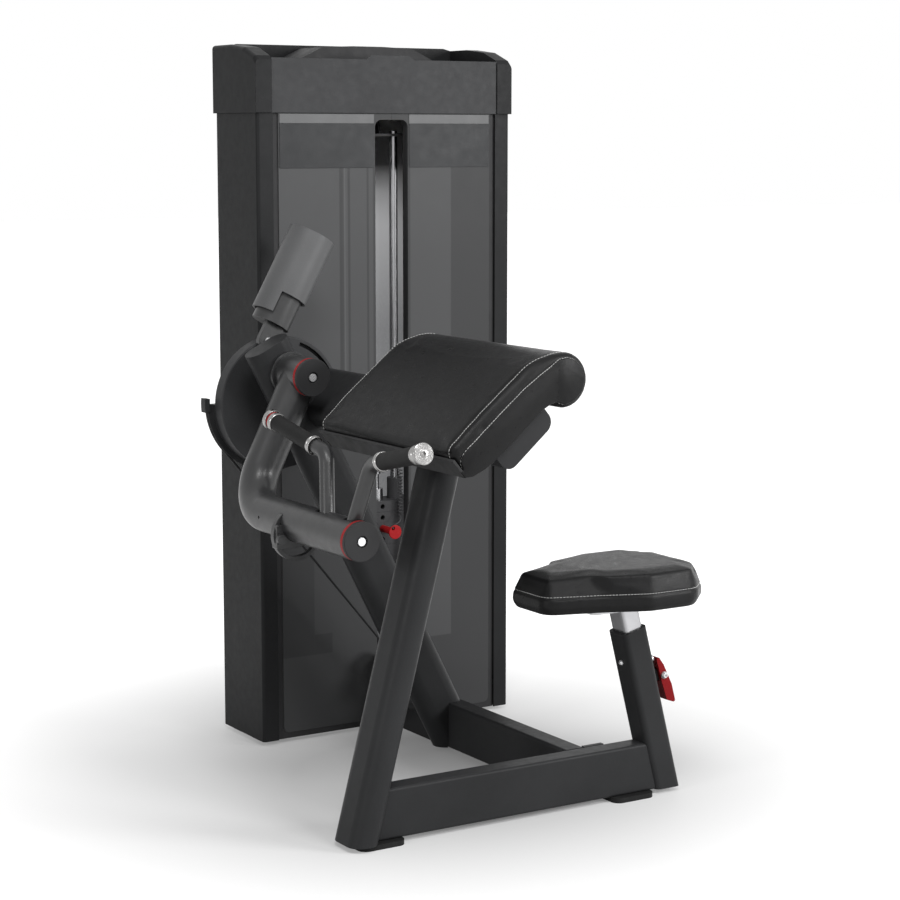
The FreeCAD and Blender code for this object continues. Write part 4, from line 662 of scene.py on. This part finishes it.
# Rows of short thread stitches that lie on the skin, as one mesh
def stitchRow(name, body, skin, rows):
    builder = bmesh.new()
    pitch = (stitch["long"] + stitch["gap"]) / 1000
    long = stitch["long"] / 1000
    radius = stitch["radius"] / 1000
    for row in rows:
        path = onSkin(skin, denser(row["points"], 0.002), row["outward"])
        travelled = 0.0
        begin = path[0]
        for here, following in zip(path, path[1:]):
            travelled += (following[0] - here[0]).length
            if travelled >= pitch:
                addStitch(builder, begin[0], here[0], here[1], long, radius)
                travelled = 0.0
                begin = following
    mesh = bpy.data.meshes.new(name)
    builder.to_mesh(mesh)
    builder.free()
    mesh.polygons.foreach_set("use_smooth", [True] * len(mesh.polygons))
    return newObject(name, mesh, body, materials["seam_thread"])


def addStitch(builder, start, end, normal, long, radius):
    way = end - start
    if way.length < radius:
        return
    way = way.normalized()
    side = normal.cross(way).normalized()
    up = way.cross(side).normalized()
    middle = (start + end) / 2 + up * stitch["lift"] / 1000
    rings = []
    count = stitch["sides"]
    for share, girth in stitch["shape"]:
        centre = middle + way * long / 2 * share - up * radius * 0.8 * share * share  # ends dip into the skin
        ring = []
        for turn in range(count):
            angle = 2 * math.pi * turn / count
            out = side * math.cos(angle) + up * math.sin(angle)
            ring.append(builder.verts.new(centre + out * radius * girth))
        rings.append(ring)
    for low, high in zip(rings, rings[1:]):
        for i in range(count):
            j = (i + 1) % count
            builder.faces.new((low[i], low[j], high[j], high[i]))
    builder.faces.new(list(reversed(rings[0])))
    builder.faces.new(rings[-1])


# Arm pad: the leather body, a cover on each end that runs down over the pan, and the stitching

armPad = {
    "x": -121.0, "z": 782.0, "slope": 40.3, "middle": -722.0, "width": 496.0,
    "thick": 56.0, "edge": 16.0, "crown": 2.5, "endRound": 14.0,
    "run": 266.0, "roll": 52.0, "drop": 22.0, "rollEnd": -134.0,
    "shoulderAt": 205.6, "shoulderRadius": 146.0, "shoulderEnd": 50.0,
    "edgeSteps": 8, "topSteps": 20, "shoulderSteps": 12, "rollSteps": 30, "endSteps": 7,
    "stitchIn": 15.0, "stitchedPoints": 66,
    "grooveIn": 19.0, "grooveDepth": 1.1, "grooveWidth": 3.0,
    "cloth": {"voxel": 5.0, "pressure": 4.0, "stiffness": 40.0, "frames": 20, "cap": 1.5, "heldDepth": 8.0},
}

# Seam on the pad's end, and the foot of the end cover inside it, as places along and off the pad
endSeam = [
    (3, -44), (6, -32), (14, -24), (30, -21), (120, -20.5), (190, -22), (232, -27), (258, -31.5),
    (281, -34.5), (297, -45), (306, -60), (308, -79), (300, -100), (281, -114.5), (256, -116), (236, -107),
    (226, -90),
]
coverFoot = [(212, -84), (196, -80.6), (90, -80.8), (40, -77), (10, -68.4), (-5.5, -57), (-5.5, -44)]
endCover = {"lift": 1.7, "rim": 2.2, "step": 4.0}


def padSpot(along, off, y):
    angle = math.radians(armPad["slope"])
    x = armPad["x"] + along * math.cos(angle) - off * math.sin(angle)
    z = armPad["z"] + along * math.sin(angle) + off * math.cos(angle)
    return spot(x, y, z)


def arcPoints(centre, radius, first, last, count):
    points = []
    for i in range(count + 1):
        angle = math.radians(first + (last - first) * i / count)
        points.append((centre[0] + radius * math.cos(angle), centre[1] + radius * math.sin(angle)))
    return points


# Side outline of the pad, drawn in by an inset: low edge, crowned top, shoulder, roll and flat underside
def padOutline(inset):
    run, roll, edge, thick = armPad["run"], armPad["roll"], armPad["edge"], armPad["thick"]
    shoulder, wide, turnTo = armPad["shoulderAt"], armPad["shoulderRadius"], armPad["shoulderEnd"]
    lowArc = arcPoints((edge, -edge), edge - inset * 0.6, 180, 90, armPad["edgeSteps"])
    low = [(s + inset * 0.4, t - inset * 0.4) for s, t in lowArc]
    top = []
    for i in range(1, armPad["topSteps"]):
        share = i / armPad["topSteps"]
        top.append((edge + (shoulder - edge) * share, 4 * armPad["crown"] * share * (1 - share) - inset))
    over = arcPoints((shoulder, -wide), wide - inset, 90, turnTo, armPad["shoulderSteps"])
    rollMiddle = (run, -roll - armPad["drop"])
    rolled = arcPoints(rollMiddle, roll - inset, turnTo - 6, armPad["rollEnd"], armPad["rollSteps"])
    neck = [(run - roll * 0.8 - inset * 0.3, -thick), (run * 0.4, -thick), (inset, -thick)]
    return low + top + over + rolled + neck


# The part of the outline that carries the long stitches, from the low edge over the roll
def topLine(inset):
    return padOutline(inset)[:armPad["stitchedPoints"]]


def armPadMesh():
    half, corner, steps = armPad["width"] / 2, armPad["endRound"], armPad["endSteps"]
    nearEnd = []
    for i in range(steps + 1):
        angle = math.pi / 2 * i / steps
        nearEnd.append((corner * (1 - math.cos(angle)) - half, corner * (1 - math.sin(angle))))
    stations = nearEnd + [(half * share, 0) for share in (-0.6, -0.2, 0.2, 0.6)]
    stations += [(-y, inset) for y, inset in reversed(nearEnd)]
    loops = [[padSpot(s, t, armPad["middle"] + y) for s, t in padOutline(inset)] for y, inset in stations]
    return loftRings(loops)


# Direction off the pad's skin at a point on its outline
def offPad(point):
    middle = padSpot(armPad["run"], -armPad["roll"] - armPad["drop"], 0)
    along = (padSpot(1, 0, 0) - padSpot(0, 0, 0)).normalized()
    up = (padSpot(0, 1, 0) - padSpot(0, 0, 0)).normalized()
    gap = point - middle
    reach = gap.dot(along)
    if reach > 0:
        return along * reach + up * gap.dot(up)
    gap = point - padSpot(armPad["edge"], -armPad["edge"], 0)
    if gap.dot(along) < 0:
        return along * gap.dot(along) + up * max(gap.dot(up), 0)
    return up


# Leather plate over one end of the pad and the pan's skirt, with a soft rim
def endCoverMesh(name, y, away):
    outline = [Vector(p) for p in denserFlat(endSeam + coverFoot, endCover["step"])]
    count = len(outline)
    rings = []
    for inward, lift in ((0.0, -2.5), (0.0, 0.0), (0.35, 0.55), (1.0, 1.0)):
        ring = []
        for i, point in enumerate(outline):
            way = (outline[(i + 1) % count] - outline[i - 1]).normalized()
            inside = Vector((way.y, -way.x))
            moved = point + inside * endCover["rim"] * inward
            ring.append(padSpot(moved.x, moved.y, y + away * endCover["lift"] * lift))
        rings.append(ring if away < 0 else ring[::-1])
    vertices, faces = loftRings(rings)
    mesh = meshFrom(name, vertices, faces)
    mesh.polygons.foreach_set("use_smooth", [True] * len(mesh.polygons))
    return mesh


# Points round a closed outline at most a step apart
def denserFlat(points, step):
    result = []
    for i, start in enumerate(points):
        start, end = Vector(start), Vector(points[(i + 1) % len(points)])
        parts = max(1, round((end - start).length / step))
        result += [tuple(start.lerp(end, k / parts)) for k in range(parts)]
    return result


def makeArmPad():
    vertices, faces = armPadMesh()
    pad = newObject("armPadLeather", meshFrom("armPadLeather", vertices, faces))
    under = padSpot(0, -armPad["thick"], 0)
    upWay = (padSpot(0, 1, 0) - padSpot(0, 0, 0)).normalized()
    heldDepth = armPad["cloth"]["heldDepth"] / 1000
    swell(pad, armPad["cloth"], lambda co: (co - under).dot(upWay) < heldDepth)
    pad.data.materials.append(materials["black_leather"])
    near = armPad["middle"] - armPad["width"] / 2
    far = armPad["middle"] + armPad["width"] / 2
    seams = []
    for y, away in ((near, -1), (far, 1)):
        seams.append([padSpot(s, t, y - away * armPad["grooveIn"]) for s, t in topLine(0)])
        seams.append([padSpot(s, t, y) for s, t in endSeam])
    pressSeams(pad, seams, armPad["grooveDepth"] / 1000, armPad["grooveWidth"] / 1000)
    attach(pad, "frame")
    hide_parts("arm_pad")
    skin = treeOf(pad)
    rows = []
    for y, away in ((near, -1), (far, 1)):
        topRow = [padSpot(s, t, y - away * armPad["stitchIn"]) for s, t in topLine(0)]
        endRow = [padSpot(s, t, y) for s, t in endSeam]
        rows.append({"points": topRow, "outward": offPad})
        rows.append({"points": endRow, "outward": lambda p, away=away: Vector((0, away, 0))})
        name = "armPadCoverNear" if away < 0 else "armPadCoverFar"
        mesh = endCoverMesh(name, y, away)
        cover = newObject(name, mesh, "frame", materials["black_leather"])
    stitchRow("armPadStitches", "frame", skin, rows)


makeArmPad()
print("arm pad made")


# Seat: a drawn-in skirt, a faceted band and a plateau whose nose falls away from the waist

seat = {
    "bottom": 413.0, "skirt": 34.0, "rise": 40.0, "crown": 5.0, "draw": 7.0, "noseFall": 0.065,
    "middle": -722.0, "centre": 400.0, "halfLength": 190.0,
    # near corners from the nose to the rear: x, half the width there, and the corner's radius
    "foot": [(210, 66, 34), (322, 98, 70), (362, 113, 40), (420, 138, 46), (532, 138, 44), (590, 80, 34)],
    "plateau": [(230, 47, 6), (312, 72, 8), (334, 97, 7), (425, 124, 14), (527, 122, 12), (572, 64, 9)],
    "cornerSteps": 6, "sideSteps": 8, "leastCorner": 4,
    "grooveDepth": 1.3, "grooveWidth": 3.0, "stitchAbove": 2.5,
    "cloth": {"voxel": 4.5, "pressure": 4.0, "stiffness": 40.0, "frames": 20, "cap": 1.2, "heldDepth": 8.0},
}


# Corners and radii between the foot's outline, at 0, and the plateau's, at 1
def seatCorners(share, inset):
    near = []
    for (x, half, radius), (topX, topHalf, topRadius) in zip(seat["foot"], seat["plateau"]):
        x, half = x + (topX - x) * share, half + (topHalf - half) * share
        x += inset * (seat["centre"] - x) / seat["halfLength"]
        radius = max(seat["leastCorner"], radius + (topRadius - radius) * share - inset * 0.2)
        near.append((x, -(half - inset * 0.9), radius))
    return near + [(x, -y, radius) for x, y, radius in reversed(near)]


# Points round a polygon with rounded corners, the same count for any inset
def roundedLoop(corners, arcSteps, lineSteps):
    count = len(corners)
    arcs = []
    for i in range(count):
        here = Vector(corners[i][:2])
        back = (Vector(corners[i - 1][:2]) - here).normalized()
        ahead = (Vector(corners[(i + 1) % count][:2]) - here).normalized()
        half = back.angle(ahead) / 2
        radius = corners[i][2]
        centre = here + (back + ahead).normalized() * radius / math.sin(half)
        enter = here + back * radius / math.tan(half)
        leave = here + ahead * radius / math.tan(half)
        arc = []
        for step in range(arcSteps + 1):
            point = enter.lerp(leave, step / arcSteps) - centre
            arc.append(centre + point.normalized() * radius)
        arcs.append(arc)
    points = []
    for i in range(count):
        points += arcs[i]
        start, end = arcs[i][-1], arcs[(i + 1) % count][0]
        points += [start.lerp(end, step / lineSteps) for step in range(1, lineSteps)]
    return points


def seatRing(share, inset, z):
    fall = seat["noseFall"] * share
    waist = seat["plateau"][1][0]
    loop = roundedLoop(seatCorners(share, inset), seat["cornerSteps"], seat["sideSteps"])
    return [spot(p.x, seat["middle"] + p.y, z - fall * max(0, waist - p.x)) for p in loop]


# Rings of the cushion from its underside to its top: share of the plateau's outline, inset and height
def seatLevels():
    draw, skirt, rise, crown, bottom = (seat[key] for key in ("draw", "skirt", "rise", "crown", "bottom"))
    seam = bottom + skirt
    top = seam + rise
    return [
        (0, draw + 3, bottom), (0, draw, bottom + 2),
        (0, draw * 0.25, bottom + skirt * 0.4), (0, draw * 0.3, bottom + skirt * 0.75), (0, draw * 0.5, seam),
        (0.14, draw * 0.4, seam + rise * 0.1), (0.5, draw * 0.25, seam + rise * 0.5),
        (0.9, 0, seam + rise * 0.9), (1, 0, top - 1), (1, 2, top),
        (1, 8, top + crown * 0.25), (1, 18, top + crown * 0.6), (1, 32, top + crown),
    ]


def makeSeatPad():
    rings = [seatRing(share, inset, z) for share, inset, z in seatLevels()]
    vertices, faces = loftRings(rings)
    pad = newObject("seatLeather", meshFrom("seatLeather", vertices, faces))
    heldTop = (seat["bottom"] + seat["cloth"]["heldDepth"]) / 1000
    swell(pad, seat["cloth"], lambda co: co.z < heldTop)
    pad.data.materials.append(materials["black_leather"])
    seamZ = seat["bottom"] + seat["skirt"]
    seam = seatRing(0, seat["draw"] * 0.5, seamZ)
    pressSeams(pad, [seam + seam[:1]], seat["grooveDepth"] / 1000, seat["grooveWidth"] / 1000)
    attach(pad, "seat")
    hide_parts("seat_pad")
    middle = spot(420, seat["middle"], 0)
    points = seatRing(0, seat["draw"] * 0.5, seamZ + seat["stitchAbove"])
    row = {"points": points + points[:1], "outward": lambda p: Vector((p.x - middle.x, p.y - middle.y, 0))}
    stitchRow("seatStitches", "seat", treeOf(pad), [row])


makeSeatPad()
print("seat made")


# Handles: turned collars and end knobs, in place of the plain ones

# The root is the middle of the handles' shaft; the knee and the end lie that far from it on each side
grip = {
    "root": (-187.7, -683.0, 598.2), "knee": (23.0, 86.0, 143.6), "end": (11.0, 292.0, 188.0),
    "length": 133.0, "collar": 12.0, "knob": 15.0, "segments": 56, "sharpFrom": 32.0,
}

# Profiles as distance along the handle and radius
innerCollar = [
    (4.0, 14.7), (4.0, 15.9), (0.9, 16.4), (0.0, 17.2), (0.3, 18.2), (1.2, 18.8), (4.6, 19.0), (5.6, 18.3),
    (6.6, 18.3), (7.6, 19.0), (10.2, 18.9), (11.3, 18.4), (12.0, 17.4), (12.0, 14.7),
]
outerCollar = [
    (0.0, 14.7), (0.0, 17.2), (0.8, 18.2), (2.0, 18.7), (9.5, 18.7), (10.9, 18.2), (12.0, 17.0), (12.0, 14.7),
]
endKnob = [
    (0.0, 15.4), (3.2, 15.4), (3.8, 16.4), (4.0, 19.4), (4.8, 20.3), (12.0, 20.5), (13.4, 20.0), (14.4, 18.6),
    (14.4, 17.2), (14.1, 16.8), (14.5, 16.3), (14.5, 13.2), (14.2, 12.8), (14.6, 12.3), (14.6, 9.4),
    (14.3, 9.0), (14.7, 8.4), (14.7, 6.2), (14.95, 5.4), (14.95, 4.2), (14.2, 3.7), (11.0, 3.4), (11.0, 0.1),
]
redBand = [(0.2, 15.5), (0.2, 17.6), (3.3, 17.6), (3.3, 15.5)]


# Turns a profile round an axis, as a closed band or a body with filled ends
def turn(builder, profile, start, way, closed):
    count = grip["segments"]
    side = way.orthogonal().normalized()
    other = way.cross(side).normalized()
    rings = []
    for along, radius in profile:
        ring = []
        for i in range(count):
            angle = 2 * math.pi * i / count
            out = side * math.cos(angle) + other * math.sin(angle)
            ring.append(builder.verts.new(start + way * along / 1000 + out * radius / 1000))
        rings.append(ring)
    pairs = list(zip(rings, rings[1:]))
    if closed:
        pairs.append((rings[-1], rings[0]))
    for low, high in pairs:
        for i in range(count):
            j = (i + 1) % count
            builder.faces.new((low[i], low[j], high[j], high[i]))
    if not closed:
        builder.faces.new(rings[0])
        builder.faces.new(rings[-1])


def finishTurned(name, builder, slotName):
    bmesh.ops.recalc_face_normals(builder, faces=builder.faces)
    mesh = bpy.data.meshes.new(name)
    builder.to_mesh(mesh)
    builder.free()
    mesh.polygons.foreach_set("use_smooth", [True] * len(mesh.polygons))
    mesh.set_sharp_from_angle(angle=math.radians(grip["sharpFrom"]))
    return newObject(name, mesh, "handles", materials[slotName])


def makeHandleEnds():
    metal = bmesh.new()
    red = bmesh.new()
    x, y, z = grip["root"]
    for side in (-1, 1):
        knee, end = (spot(x + dx, y + side * dy, z + dz) for dx, dy, dz in (grip["knee"], grip["end"]))
        way = (end - knee).normalized()
        knobStart = end - way * grip["knob"] / 1000
        outerStart = knobStart - way * grip["collar"] / 1000
        innerStart = outerStart - way * (grip["length"] + grip["collar"]) / 1000
        turn(metal, innerCollar, innerStart, way, True)
        turn(metal, outerCollar, outerStart, way, True)
        turn(metal, endKnob, knobStart, way, False)
        if side > 0:
            turn(red, redBand, knobStart, way, True)
    ends = finishTurned("handleEnds", metal, "turned_aluminium")
    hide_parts("grip_collars")
    finishTurned("handleRing", red, "red_plastic")


makeHandleEnds()
print("handle ends made")
